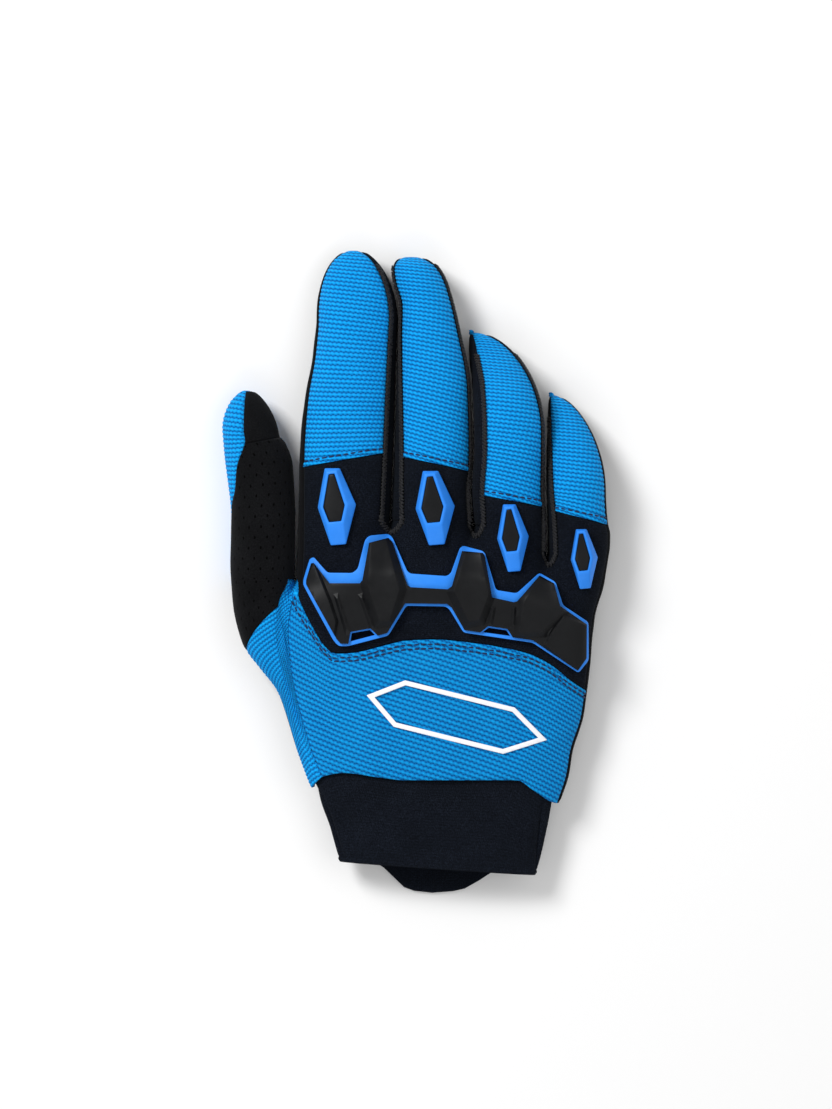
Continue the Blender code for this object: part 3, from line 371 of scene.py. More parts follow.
def crotch_y(ray, across):
    share = (across * 0.5 + 0.5 - CROTCH_LEVEL) / (1 - 2 * CROTCH_LEVEL)
    return blend(ray.crotch[0], ray.crotch[1], eased(share))


def row_y(ray, row, across):
    """The y of a row of the pattern, which need not be whole, across the section from -1 to 1."""
    seam_y = palm_y(CUFF_SEAM(across_hand(ray, across, 0.0, THUMB)))
    share = across * 0.5 + 0.5
    panel_y = ray.along_y(blend(ray.plan.panel_edge[0], ray.plan.panel_edge[1], share))
    turn = np.sin(np.radians(np.interp(row - ray.nose_row, range(len(NOSE_TURNS)), NOSE_TURNS)))
    if ray is THUMB:
        edge_y = palm_y(blend(OVERLAY_EDGE[0][1], OVERLAY_EDGE[1][1], share))
        base_y = ray.base_y
        rows = [GUSSET_ROWS, BACK_ROWS]
        parts = [
            blend(seam_y, edge_y, row / GUSSET_ROWS),
            blend(edge_y, base_y, (row - GUSSET_ROWS) / (BACK_ROWS - GUSSET_ROWS)),
        ]
    else:
        knuckle_y = palm_y(KNUCKLE_SEAM(across_hand(ray, across, KNUCKLE_LEVEL, INDEX)))
        base_y = crotch_y(ray, across)
        rows = [BACK_ROWS, ray.base_row]
        parts = [
            blend(seam_y, knuckle_y, row / BACK_ROWS),
            blend(knuckle_y, base_y, (row - BACK_ROWS) / KNUCKLE_ROWS),
        ]
    rows += [ray.panel_row, ray.nose_row]
    parts += [
        blend(base_y, panel_y, (row - ray.base_row) / ray.plan.rows[0]),
        blend(panel_y, ray.nose_y, (row - ray.panel_row) / ray.plan.rows[1]),
    ]
    return np.select([row <= last for last in rows], parts, blend(ray.nose_y, ray.tip_y, turn))


def ray_grid(ray, slots, rows):
    """Points over slots and rows of a ray, as an array of rows by slots."""
    slots = np.asarray(slots, float)[None, :]
    rows = np.asarray(rows, float)[:, None]
    share = ray.share_at(row_y(ray, rows, 0.0))
    across, up = rounded(slot_angle(ray, slots, share))
    y = row_y(ray, rows, across)
    middle, half = ray.span(y)
    return on_skin(ray, middle + half * across, y, np.where(up >= 0, 1, -1))


def gap_grid(left_ray, columns, rows, side):
    """Points of the web between two rays, on the back (side 1) or in the palm (side -1)."""
    right_ray = RAYS[RAYS.index(left_ray) + 1]
    rows = np.asarray(rows, float)
    start = ray_grid(left_ray, [RIGHT_SLOT if side > 0 else PALM_SLOT], rows)
    end = ray_grid(right_ray, [0 if side > 0 else LEFT_SLOT], rows)
    share = np.asarray(columns, float)[None, :] / GAP_COLUMNS
    first_row = GUSSET_ROWS if left_ray is THUMB else BACK_ROWS
    bend = np.maximum(rows[:, None] - first_row, 0) / (left_ray.base_row - first_row)
    x = blend(start[..., 0], end[..., 0], share)
    y = blend(start[..., 1], end[..., 1], share) - CROTCH_DEPTH * np.sin(math.pi * share) * bend**WEB_POWER
    return on_skin(left_ray, x, y, np.full(x.shape, side))


def level_share(ray, slots):
    """Height of side slots as a share of their seam's: 1 at the back's seam and -1 at the palm's."""
    up = rounded(slot_angle(ray, slots, 0.0))[1]
    right_side = slots <= PALM_SLOT
    back = np.where(right_side, RIGHT_SLOT, ALL_SLOTS)
    palm = np.where(right_side, PALM_SLOT, LEFT_SLOT)
    limit = rounded(slot_angle(ray, np.where(up < 0, palm, back), 0.0))[1]
    return up / np.abs(limit)


def turn_grid(left_ray, columns, levels):
    """Points of a side strip's turn round a crotch, as an array of levels by columns."""
    right_ray = RAYS[RAYS.index(left_ray) + 1]
    row = [left_ray.base_row]
    levels = np.asarray(levels, float)
    share = np.asarray(columns, float)[None, :] / GAP_COLUMNS
    start = ray_grid(left_ray, RIGHT_SLOT + levels, row)[0][:, None, :]
    end = ray_grid(right_ray, ALL_SLOTS - levels, row)[0][:, None, :]
    back = gap_grid(left_ray, columns, row, 1)[0][None, :, 2]
    palm = gap_grid(left_ray, columns, row, -1)[0][None, :, 2]
    left_level = level_share(left_ray, RIGHT_SLOT + levels)[:, None]
    right_level = level_share(right_ray, ALL_SLOTS - levels)[:, None]
    level = blend(left_level, right_level, share)
    depth = CROTCH_DEPTH * blend(TURN_LEAST, 1.0, np.abs(level) ** WEB_POWER)
    x = blend(start[..., 0], end[..., 0], share)
    y = blend(start[..., 1], end[..., 1], share) - depth * np.sin(math.pi * share)
    z = blend(SIDE_SEAM_HEIGHT, np.where(level >= 0, back, palm), np.abs(level))
    return np.stack(np.broadcast_arrays(x, y, z), axis=-1)


def frame_shift():
    """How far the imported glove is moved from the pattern's own axes."""
    low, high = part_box("knuckle_guard")
    outline = guard_outline(KNUCKLE_GUARD_OUTLINE)
    return [
        (low[axis] + high[axis]) / 2 - (min(p[axis] for p in outline) + max(p[axis] for p in outline)) / 2
        for axis in (0, 1)
    ]


# Meshes

Grid = namedtuple("Grid", "points cloth hem")


def spread(low, high, count):
    return np.linspace(low, high, count + 1)


def lengths(points, axis):
    """Running length along one axis of a grid of points, in millimetres."""
    steps = np.linalg.norm(np.diff(points, axis=axis), axis=-1) / MM
    pad = [(0, 0), (0, 0)]
    pad[axis] = (1, 0)
    return np.cumsum(np.pad(steps, pad), axis=axis)


def cloth_grid(points, start=(0.0, 0.0), slope=0.0, hem=None):
    """A grid with cloth coordinates in millimetres: across from the middle column, along from row 0."""
    middle = points.shape[1] // 2
    across = lengths(points, 1)
    across = across - across[:, middle : middle + 1]
    along = lengths(points, 0)[:, middle : middle + 1] + 0 * across
    along = along + across * math.tan(math.radians(slope))
    marks = np.zeros(across.shape)
    if hem is not None:
        marks[hem, :] = 1.0
    return Grid(points, np.stack([across + start[0], along + start[1]], axis=-1), marks)


def plan_cloth(grid, angle, bow=0.0, anchor=None):
    """The grid with cloth coordinates along the hand and round it from a column, turned and bowed."""
    if anchor is None:
        anchor = grid.points.shape[1] // 2
    x = grid.cloth[..., 0] - grid.cloth[:, anchor, None, 0] + grid.points[:, anchor, None, 0] / MM
    y = grid.points[..., 1] / MM
    turn = math.radians(angle)
    across = x * math.cos(turn) + y * math.sin(turn)
    along = y * math.cos(turn) - x * math.sin(turn) + bow * x * np.abs(x) / 100
    return Grid(grid.points, np.stack([across, along], axis=-1), grid.hem)


def mesh_from_grids(grids):
    """One welded bmesh from grids, with its cloth coordinates and hem marks."""
    mesh = bmesh.new()
    cloth = mesh.loops.layers.uv.new("cloth")
    along = mesh.verts.layers.float.new("along")
    hem = mesh.verts.layers.float.new("hem")
    for grid in grids:
        rows, columns = grid.points.shape[:2]
        made = []
        for r in range(rows):
            line = []
            for c in range(columns):
                vertex = mesh.verts.new(grid.points[r, c])
                vertex[along] = grid.cloth[r, c, 1]
                vertex[hem] = grid.hem[r, c]
                line.append(vertex)
            made.append(line)
        for r in range(rows - 1):
            for c in range(columns - 1):
                corners = [(r, c), (r, c + 1), (r + 1, c + 1), (r + 1, c)]
                face = mesh.faces.new([made[i][j] for i, j in corners])
                for loop, (i, j) in zip(face.loops, corners):
                    loop[cloth].uv = grid.cloth[i, j]
    bmesh.ops.remove_doubles(mesh, verts=mesh.verts, dist=0.02 * MM)
    mesh.normal_update()
    return mesh


def distances(mesh, chosen):
    """Distance in millimetres from each vertex to the nearest of the chosen ones."""
    if not chosen:
        return np.full(len(mesh.verts), 1000.0)
    tree = kdtree.KDTree(len(chosen))
    for i, vertex in enumerate(chosen):
        tree.insert(vertex.co, i)
    tree.balance()
    return np.array([tree.find(vertex.co)[2] for vertex in mesh.verts]) / MM


def bump_at(distance, width):
    return np.exp(-((distance / width) ** 2))


def ripple(places, size, seed):
    """Smooth noise at each place, for lumps of about a size in metres."""
    offset = Vector((seed * 7.3, seed * 3.1, seed))
    return np.array([noise.noise(Vector(place) / size + offset) for place in places])


def fold_depth(places, folds):
    """Depth in millimetres of the given folds: each has two ends, a width and a depth."""
    total = np.zeros(len(places))
    for fold in folds:
        start = np.array(fold.start) * MM
        end = np.array(fold.end) * MM
        line = end - start
        offset = places[:, :2] - start
        share = np.clip((offset @ line) / (line @ line), 0.0, 1.0)
        away = np.linalg.norm(offset - share[:, None] * line, axis=1) / MM
        fade = np.sin(math.pi * np.clip(share, 0.02, 0.98)) ** 0.5
        total += fold.depth * fade * bump_at(away, fold.width)
    return total


Fold = namedtuple("Fold", "start end width depth")

# Relief in millimetres: how far in a seam rolls, the hem's band with its edge and its sewn groove.
ROLL_WIDTH = 0.9
HEM_WIDTH = 1.6
HEM_HEIGHT = 0.45
HEM_EDGE = 0.5
GROOVE_PLACE = HEM_WIDTH + 0.15
GROOVE_WIDTH = 0.35
# The ribs fade out over this much of a closed fingertip, which lies in a little and is smoothed.
CROWN_FADE = 2.5
CROWN_SINK = 0.15
CROWN_REACH = 3.2
CROWN_SMOOTHING = 30
# Share of a rib's height that stands out; the rest is its groove.
RIB_MIDDLE = 0.6


class Relief:
    """How a panel's surface departs from the hand: ribs, rolled seams, hems, folds and soft lumps."""

    def __init__(
        self, rib=0.0, pitch=1.7, roll=0.55, hem=0.0, folds=(), lumps=0.25, lump_size=0.011, seed=1, capped=False,
    ):
        self.rib = rib
        self.pitch = pitch
        self.roll = roll
        self.hem = hem
        self.folds = folds
        self.lumps = lumps
        self.lump_size = lump_size
        self.seed = seed
        self.capped = capped

    def apply(self, mesh):
        mesh.verts.ensure_lookup_table()
        along = mesh.verts.layers.float["along"]
        hem = mesh.verts.layers.float["hem"]
        places = np.array([vertex.co[:] for vertex in mesh.verts])
        edge = distances(mesh, [vertex for vertex in mesh.verts if vertex.is_boundary])
        hem_edge = distances(mesh, [vertex for vertex in mesh.verts if vertex[hem] > 0.5])
        phase = np.array([vertex[along] for vertex in mesh.verts]) / self.pitch
        ridge = 0.5 - 0.5 * np.cos(2 * math.pi * phase)
        crown = places[:, 1].max() - places[:, 1]
        calm = eased(crown / (CROWN_FADE * MM)) if self.capped else 1.0
        move = self.rib * (ridge**0.7 - RIB_MIDDLE) * eased(edge / ROLL_WIDTH) * calm - CROWN_SINK * (1 - calm)
        rolled = 1 - bump_at(hem_edge, 0.6) * min(self.hem, 1.0)
        move = move - self.roll * bump_at(edge, ROLL_WIDTH) * rolled
        if self.hem > 0:
            band = (1 - eased((hem_edge - HEM_WIDTH) / HEM_EDGE)) * (1 - bump_at(hem_edge, HEM_EDGE))
            groove = bump_at(hem_edge - GROOVE_PLACE, GROOVE_WIDTH)
            move = move + self.hem * HEM_HEIGHT * (band - groove)
        move = move + self.lumps * ripple(places, self.lump_size, self.seed) * eased(edge / 3)
        facing = np.abs([vertex.normal.z for vertex in mesh.verts])
        move = move + fold_depth(places, self.folds) * eased(edge / 2) * eased(facing * 1.3)
        for vertex, distance in zip(mesh.verts, move):
            vertex.co += vertex.normal * float(distance) * MM
            vertex.co.z = max(vertex.co.z, 0.0)
        if self.capped:
            inner = [(vertex, far) for vertex, far in zip(mesh.verts, crown) if not vertex.is_boundary]
            end = [vertex for vertex, far in inner if far < CROWN_REACH * MM]
            axes = {f"use_axis_{axis}": True for axis in "xyz"}
            for _ in range(CROWN_SMOOTHING):
                bmesh.ops.smooth_vert(mesh, verts=end, factor=0.5, **axes)


def put_in_scene(name, mesh, material, smooth_angle=60):
    """Turns a bmesh into an object in the frame's own place."""
    shift = frame_shift()
    bmesh.ops.translate(mesh, verts=mesh.verts, vec=(shift[0], shift[1], 0.0))
    data = bpy.data.meshes.new(name)
    mesh.to_mesh(data)
    mesh.free()
    data.materials.append(material)
    data.shade_smooth()
    if smooth_angle:
        data.set_sharp_from_angle(angle=math.radians(smooth_angle))
    thing = bpy.data.objects.new(name, data)
    bpy.context.scene.collection.objects.link(thing)
    return thing


def thicken(thing, wall, offset=-1.0):
    """Gives a sheet its thickness and applies it."""
    solid = thing.modifiers.new("wall", "SOLIDIFY")
    solid.thickness = wall
    solid.offset = offset
    solid.use_even_offset = False
    solid.use_rim = True
    shaped = bpy.data.meshes.new_from_object(thing.evaluated_get(bpy.context.evaluated_depsgraph_get()))
    thing.modifiers.clear()
    thing.data = shaped
    return thing


# Least width of a cut in mm, and the most and the least of its box that a cut fills.
SHEET_LEAST = 10.5
SHEET_FULLEST = 0.95
SHEET_EMPTIEST = 0.4


def sew(name, grids, relief, material, wall, node):
    mesh = mesh_from_grids(grids)
    area = sum(face.calc_area() for face in mesh.faces)
    cloth = np.concatenate([grid.cloth.reshape(-1, 2) for grid in grids])
    width, length = (cloth.max(axis=0) - cloth.min(axis=0)) * MM
    relief.apply(mesh)
    thing = thicken(put_in_scene(name, mesh, material), wall)
    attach(thing, BODY)
    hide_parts(node)
    width = max(width, SHEET_LEAST * MM)
    length = min(max(length, area / (SHEET_FULLEST * width)), area / (SHEET_EMPTIEST * width))
    print(f"cut of {name}: {width * 1000:.0f} x {length * 1000:.0f} mm, {area * 1e4:.1f} cm2")
    return thing


# Materials


def start_material(name):
    material = bpy.data.materials.new(name)
    material.use_nodes = True
    return material, material.node_tree, material.node_tree.nodes["Principled BSDF"]


def feed(entry, value):
    if isinstance(value, Field):
        value.tree.links.new(value.socket, entry)
    else:
        entry.default_value = value


class Field:
    """A value that varies over a surface. The usual signs build the shader's math nodes."""

    def __init__(self, tree, socket):
        self.tree = tree
        self.socket = socket

    def math(self, operation, *others):
        return combined(self.tree, operation, self, *others)

    def __add__(self, other):
        return self.math("ADD", other)

    def __sub__(self, other):
        return self.math("SUBTRACT", other)

    def __rsub__(self, other):
        return combined(self.tree, "SUBTRACT", other, self)

    def __mul__(self, other):
        return self.math("MULTIPLY", other)

    def __pow__(self, other):
        return self.math("POWER", other)

    def scaled(self, factor, offset):
        return self.math("MULTIPLY_ADD", factor, offset)

    def wave(self, pitch, phase=0.0):
        """A cosine from 0 to 1 with its highest points at whole pitches."""
        turns = self * (2 * math.pi / pitch) + phase
        return turns.math("COSINE").scaled(0.5, 0.5)


def combined(tree, operation, *values):
    node = tree.nodes.new("ShaderNodeMath")
    node.operation = operation
    for entry, value in zip(node.inputs, values):
        feed(entry, value)
    return Field(tree, node.outputs[0])


def mixed(share, first, second):
    """A colour between two colours or colour fields."""
    node = share.tree.nodes.new("ShaderNodeMix")
    node.data_type = "RGBA"
    feed(node.inputs["Factor"], share)
    for entry, colour in zip(node.inputs[6:8], (first, second)):
        feed(entry, colour if isinstance(colour, Field) else (*colour, 1.0))
    return Field(share.tree, node.outputs[2])


def cloth_axes(tree):
    """The cloth coordinates, in millimetres: across, along and both as a vector."""
    place = tree.nodes.new("ShaderNodeUVMap")
    place.uv_map = "cloth"
    split = tree.nodes.new("ShaderNodeSeparateXYZ")
    tree.links.new(place.outputs["UV"], split.inputs[0])
    return [Field(tree, socket) for socket in (split.outputs["X"], split.outputs["Y"], place.outputs["UV"])]


def object_axes(tree):
    return Field(tree, tree.nodes.new("ShaderNodeTexCoord").outputs["Object"])


def noise_of(place, scale, detail=2.0, roughness=0.5):
    node = place.tree.nodes.new("ShaderNodeTexNoise")
    feed(node.inputs["Vector"], place)
    node.inputs["Scale"].default_value = scale
    node.inputs["Detail"].default_value = detail
    node.inputs["Roughness"].default_value = roughness
    return Field(place.tree, node.outputs["Fac"])


def rough_up(shader, relief, distance, strength=1.0):
    node = relief.tree.nodes.new("ShaderNodeBump")
    node.inputs["Distance"].default_value = distance
    node.inputs["Strength"].default_value = strength
    feed(node.inputs["Height"], relief)
    relief.tree.links.new(node.outputs["Normal"], shader.inputs["Normal"])


def soften(shader, roughness, sheen, tint=(1.0, 1.0, 1.0), specular=0.25):
    shader.inputs["Roughness"].default_value = roughness
    shader.inputs["Sheen Weight"].default_value = sheen
    shader.inputs["Sheen Roughness"].default_value = 0.5
    shader.inputs["Sheen Tint"].default_value = (*tint, 1.0)
    shader.inputs["Specular IOR Level"].default_value = specular


def ribbed_knit(name, colours, pitch, stitch, tone=1.0):
    """Rows of staggered blue loops, with painted highlight on the crests and painted shade in the grooves and in
    the holes between the rows.
    """
    material, tree, shader = start_material(name)
    across, along, place = cloth_axes(tree)
    across = across + noise_of(place, 0.35).scaled(0.6, -0.3)
    groove = along.wave(pitch)
    ridge = 1.0 - groove
    row = along.math("DIVIDE", pitch).math("FLOOR")
    loop = along.scaled(0.35, across).wave(stitch, row * math.pi)
    gap = 1.0 - loop
    crest = ridge**1.2 * loop.scaled(0.75, 0.25)
    # Painted shade: the grooves, darkest at the holes between the loops, are mixed towards the groove colour.
    dark = groove**1.6 * (gap**2.0).scaled(0.8, 0.2)
    strand = along.scaled(-1.3, across).wave(stitch / 4) * crest * 0.35
    cloudy = noise_of(place, 0.09, 4.0, 0.6).scaled(0.5, -0.12)
    # Painted highlight: the crests and the strands on them are mixed towards the crest colour; the cloudy part is
    # random tone.
    light = crest * 0.85 + (cloudy + strand)
    low = [tone * part for part in colours.knit]
    high = [tone * part for part in colours.knit_crest_highlight]
    lit = mixed(light.math("MINIMUM", 1.0), low, high)
    feed(shader.inputs["Base Color"], mixed(dark, lit, colours.knit_groove_shade))
    soften(shader, 0.8, 0.03, (0.4, 0.75, 1.0), 0.12)
    fibre = noise_of(place, 5.0, 3.0, 0.7)
    rough_up(shader, crest + fibre * 0.3 - dark + strand, 0.22 * MM)
    return material


def fine_knit(name, base, light, gauge=0.62):
    """Dense black jersey: a faint lattice of loops with light fibres."""
    material, tree, shader = start_material(name)
    place = object_axes(tree)
    across, along, _ = cloth_axes(tree)
    loops = across.wave(gauge) * along.wave(gauge * 1.15)
    speck = noise_of(place, 2600.0, 2.0, 0.6) ** 4.0
    patch = noise_of(place, 90.0, 3.0)
    share = speck.scaled(4.0, loops * 0.25) * patch.scaled(0.8, 0.5)
    feed(shader.inputs["Base Color"], mixed(share, base, light))
    soften(shader, 0.92, 0.02, (0.75, 0.85, 1.0), 0.05)
    rough_up(shader, loops * 0.6 + speck, 0.12 * MM, 0.8)
    return material


def suede(name, base, light, holes=0.0):
    """Matt suede with a short nap, punched with a lattice of small holes when holes is their pitch."""
    material, tree, shader = start_material(name)
    place = object_axes(tree)
    nap = noise_of(place, 1900.0, 4.0, 0.7)
    worn = noise_of(place, 60.0, 4.0, 0.6)
    colour = mixed(nap**2.0 * worn.scaled(1.4, 0.1), base, light)
    relief = nap * 0.6
    if holes:
        across, along, _ = cloth_axes(tree)
        rows = holes * math.sqrt(3)
        first, second = [across.wave(holes, phase) * along.wave(rows, phase) for phase in (0.0, math.pi)]
        punched = first.math("MAXIMUM", second).math("GREATER_THAN", 0.94)
        # Painted shade: the punched holes are painted near black, for the shade inside them.
        colour = mixed(punched, colour, (0.0002, 0.0002, 0.0002))
        relief = relief - punched * 2.0
    feed(shader.inputs["Base Color"], colour)
    soften(shader, 0.95, 0.03, (0.9, 0.92, 1.0), 0.04)
    rough_up(shader, relief, 0.14 * MM, 0.8)
    return material


def moulded(name, base, light, roughness):
    """Satin moulded rubber with a fine spark texture and slight scuffing."""
    material, tree, shader = start_material(name)
    place = object_axes(tree)
    grain = noise_of(place, 2400.0, 2.0, 0.5)
    scuff = noise_of(place, 170.0, 5.0, 0.65)
    feed(shader.inputs["Base Color"], mixed(scuff**3.0 * 1.6, base, light))
    feed(shader.inputs["Roughness"], scuff.scaled(0.22, roughness - 0.11))
    shader.inputs["Specular IOR Level"].default_value = 0.2
    rough_up(shader, grain, 0.03 * MM, 0.5)
    return material


def thread(name, base):
    """Twisted thread with lighter strands."""
    material, tree, shader = start_material(name)
    twist = noise_of(object_axes(tree), 3000.0, 2.0)
    feed(shader.inputs["Base Color"], mixed(twist**2.0 * 1.2, base, [3 * part + 0.006 for part in base]))
    soften(shader, 0.6, 0.1)
    rough_up(shader, twist, 0.05 * MM, 0.6)
    return material


MATERIALS = {}
# The back of the hand is knitted in a slightly darker blue than the fingers.
BACK_TONE = 0.82


def material_of(key):
    """The named finish, made when it is first asked for."""
    if key in MATERIALS:
        return MATERIALS[key]
    colours = bpy.context.scene.glove_colours
    sizes = bpy.context.scene.glove_sizes
    light = colours.jersey_light
    gauge = sizes.stitch_gauge / MM
    makers = {
        "knit": lambda: ribbed_knit("blue ribbed knit", colours, sizes.finger_rib / MM, gauge),
        "back knit": lambda: ribbed_knit("blue back knit", colours, sizes.back_rib / MM, gauge, BACK_TONE),
        "jersey": lambda: fine_knit("black jersey", colours.jersey, light),
        "strip": lambda: fine_knit("black strip", colours.strip, light, 0.9),
        "suede": lambda: suede("black suede", colours.suede, colours.suede_light),
        "punched": lambda: suede("punched suede", colours.suede, colours.suede_light, sizes.punch_pitch / MM),
        "elastic": lambda: fine_knit("black elastic", colours.elastic, light, 0.8),
        "blue rubber": lambda: moulded("blue rubber", colours.blue_rubber, colours.blue_rubber_light, 0.48),
        "black rubber": lambda: moulded("black rubber", colours.black_rubber, colours.black_rubber_light, 0.46),
        "blue thread": lambda: thread("blue thread", colours.blue_thread),
        "black thread": lambda: thread("black thread", colours.black_thread),
        "white print": lambda: moulded("white print", colours.print_white, colours.print_white, 0.55),
    }
    MATERIALS[key] = makers[key]()
    return MATERIALS[key]


# Threads


def resample(path, step):
    """Evenly spaced points along a path, with its directions."""
    run = np.concatenate([[0.0], np.cumsum(np.linalg.norm(np.diff(path, axis=0), axis=1))])
    count = max(int(run[-1] / step), 2)
    at = (np.arange(count) + 0.5) * run[-1] / count
    points = np.stack([np.interp(at, run, path[:, k]) for k in range(3)], axis=1)
    ahead = np.stack([np.interp(at + step / 4, run, path[:, k]) for k in range(3)], axis=1)
    behind = np.stack([np.interp(at - step / 4, run, path[:, k]) for k in range(3)], axis=1)
    along = ahead - behind
    return points, along / np.linalg.norm(along, axis=1, keepdims=True)


def bead(sides=6, rings=(0.0, 0.12, 0.5, 0.88, 1.0)):
    """A rounded stitch along X, one unit long and one across, as points and faces."""
    points = []
    for share in rings:
        radius = 0.5 * (1 - (2 * share - 1) ** 4) ** 0.5 if 0 < share < 1 else 0.16
        for i in range(sides):
            turn = 2 * math.pi * i / sides
            points.append((share - 0.5, radius * math.cos(turn), radius * math.sin(turn)))
    faces = []
    for r in range(len(rings) - 1):
        for i in range(sides):
            j = (i + 1) % sides
            a = r * sides
            faces.append((a + i, a + j, a + sides + j, a + sides + i))
    faces.append(tuple(reversed(range(sides))))
    faces.append(tuple(range(sides * (len(rings) - 1), sides * len(rings))))
    return np.array(points), faces


def stitches(mesh, path, normals, step, length, thickness, tilt=0.0, bury=0.3, wander=0.0):
    """Adds a row of stitches along a path to a bmesh. tilt turns every stitch across the path."""
    points, along = resample(path, step * MM)
    run = np.linspace(0, 1, len(points))
    source = np.linspace(0, 1, len(normals))
    normal = np.stack([np.interp(run, source, normals[:, k]) for k in range(3)], axis=1)
    normal -= along * (normal * along).sum(axis=1, keepdims=True)
    normal /= np.linalg.norm(normal, axis=1, keepdims=True)
    side = np.cross(normal, along)
    shape, faces = bead()
    for i in range(len(points)):
        turn = math.radians(tilt + wander * noise.noise(Vector((i * 1.7, tilt, 0.0))))
        ahead = along[i] * math.cos(turn) + side[i] * math.sin(turn)
        beside = np.cross(normal[i], ahead)
        middle = points[i] + normal[i] * thickness * MM * (0.5 - bury)
        axes = np.array([ahead * length, beside * thickness, normal[i] * thickness]) * MM
        corners = [mesh.verts.new(middle + point @ axes) for point in shape]
        for face in faces:
            mesh.faces.new([corners[k] for k in face])


def grid_normals(points):
    """Outward normals of a grid of points."""
    along = np.gradient(points, axis=0)
    across = np.gradient(points, axis=1)
    normal = np.cross(across, along)
    return normal / np.maximum(np.linalg.norm(normal, axis=-1, keepdims=True), 1e-12)


def add_trim(name, mesh, material):
    thing = put_in_scene(name, mesh, material)
    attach(thing, BODY)
    return thing


# Panels

BACK_TURN = -17.0
# Rough lengths of the back, the knuckle panel and the turn of a fingertip, for the count of rows.
BACK_RUN = 0.055
KNUCKLE_RUN = 0.045
NOSE_RUN = 0.03
CAP_RUN = 0.003
CAP_CELL = 0.0004
# Length of the cloth round a fingertip: a share of the nose's length, and what its height adds.
ROUND_SHARE = 1.35
ROUND_LEAST = 0.004


def top_columns(rays, rows, fine):
    """Points over the back of neighbouring rays and the gaps between them, with fine columns a slot."""
    parts = []
    for ray in rays:
        if parts:
            left_ray = RAYS[RAYS.index(ray) - 1]
            parts.append(gap_grid(left_ray, spread(0, GAP_COLUMNS, 8)[1:-1], rows, 1))
        parts.append(ray_grid(ray, spread(0, RIGHT_SLOT, TOP_COLUMNS * fine), rows))
    return np.concatenate(parts, axis=1)


def rows_between(first, last, length, cell):
    """Rows of the pattern so close that a cell is about so many metres long."""
    return spread(first, last, max(int(length / cell), 4))


def patch(ray, rows, first, last, count, **cloth):
    """A grid of cloth over some rows of a ray, from one slot to another in so many columns."""
    return cloth_grid(ray_grid(ray, spread(first, last, count), rows), **cloth)


def finger_rows(ray, last, cell=0.00034):
    """Rows from the knuckle panel's edge to the fingertip."""
    tube = rows_between(ray.panel_row, ray.nose_row, ray.nose_y - ray.along_y(ray.plan.panel_edge[0]), cell)
    round_length = ROUND_SHARE * (ray.tip_y - ray.nose_y) + ROUND_LEAST
    turns = rows_between(ray.nose_row, ray.nose_row + last, round_length, cell)
    return np.concatenate([tube, turns[1:]])


def strip_rows(ray, length, cell):
    """Rows along a finger's side from its base and round its nose."""
    tube = rows_between(ray.base_row, ray.nose_row, length, cell)
    turns = rows_between(ray.nose_row, ray.nose_row + STRIP_END, NOSE_RUN, cell)
    return np.concatenate([tube, turns[1:]])


def tip_cap(ray, back, pieces):
    """The rounded end that closes a fingertip, as patches of slots and columns that continue the back."""
    rows = rows_between(ray.nose_row + STRIP_END, ray.nose_row + CAP_END, CAP_RUN, CAP_CELL)
    start = (0.0, float(back.cloth[-1, back.cloth.shape[1] // 2, 1]))
    return [patch(ray, rows, first, last, count, start=start) for first, last, count in pieces]


class GloveOperator:
    """What every step of the glove shares."""

    bl_options = {"REGISTER", "UNDO"}


BACK_FOLDS = (
    Fold((-38, -40), (-30, -62), 2.2, -0.5),
    Fold((-26, -44), (-20, -70), 3.0, -0.35),
    Fold((52, -40), (30, -60), 4.0, -0.35),
    Fold((55, -55), (34, -70), 3.0, 0.35),
    Fold((10, -50), (14, -72), 5.0, 0.3),
    Fold((-6, -58), (-10, -73), 3.5, -0.3),
)


class GLOVE_OT_back_panel(GloveOperator, bpy.types.Operator):
    """Sew the blue ribbed panel over the back of the hand"""

    bl_idname = "glove.back_panel"
    bl_label = "Back Panel"

    def execute(self, context):
        sizes = context.scene.glove_sizes
        rows = rows_between(0, BACK_ROWS, BACK_RUN, 0.00042)
        points = top_columns(FINGERS, rows, 4)
        grid = plan_cloth(cloth_grid(points, hem=-1), BACK_TURN, 0.12)
        relief = Relief(
            rib=sizes.rib_height / MM, pitch=sizes.back_rib / MM, hem=1.0, folds=BACK_FOLDS, lumps=0.35, seed=2,
            lump_size=0.016,
        )
        sew("back_panel_cloth", [grid], relief, material_of("back knit"), sizes.cloth, "back_panel")
        return {"FINISHED"}


class GLOVE_OT_knuckle_panel(GloveOperator, bpy.types.Operator):
    """Sew the black jersey panel over the knuckles, with its tongues up the fingers"""

    bl_idname = "glove.knuckle_panel"
    bl_label = "Knuckle Panel"

    def execute(self, context):
        sizes = context.scene.glove_sizes
        rows = rows_between(BACK_ROWS, INDEX.base_row, KNUCKLE_RUN, 0.0009)
        grids = [plan_cloth(cloth_grid(top_columns(FINGERS, rows, 4)), 0)]
        for ray in FINGERS:
            rows = rows_between(ray.base_row, ray.panel_row, 0.022, 0.0009)
            grids.append(plan_cloth(patch(ray, rows, 0, RIGHT_SLOT, TOP_COLUMNS * 4), 0))
        relief = Relief(roll=0.5, lumps=0.3, lump_size=0.012, seed=3)
        sew("knuckle_panel_cloth", grids, relief, material_of("jersey"), sizes.cloth, "knuckle_panel")
        return {"FINISHED"}


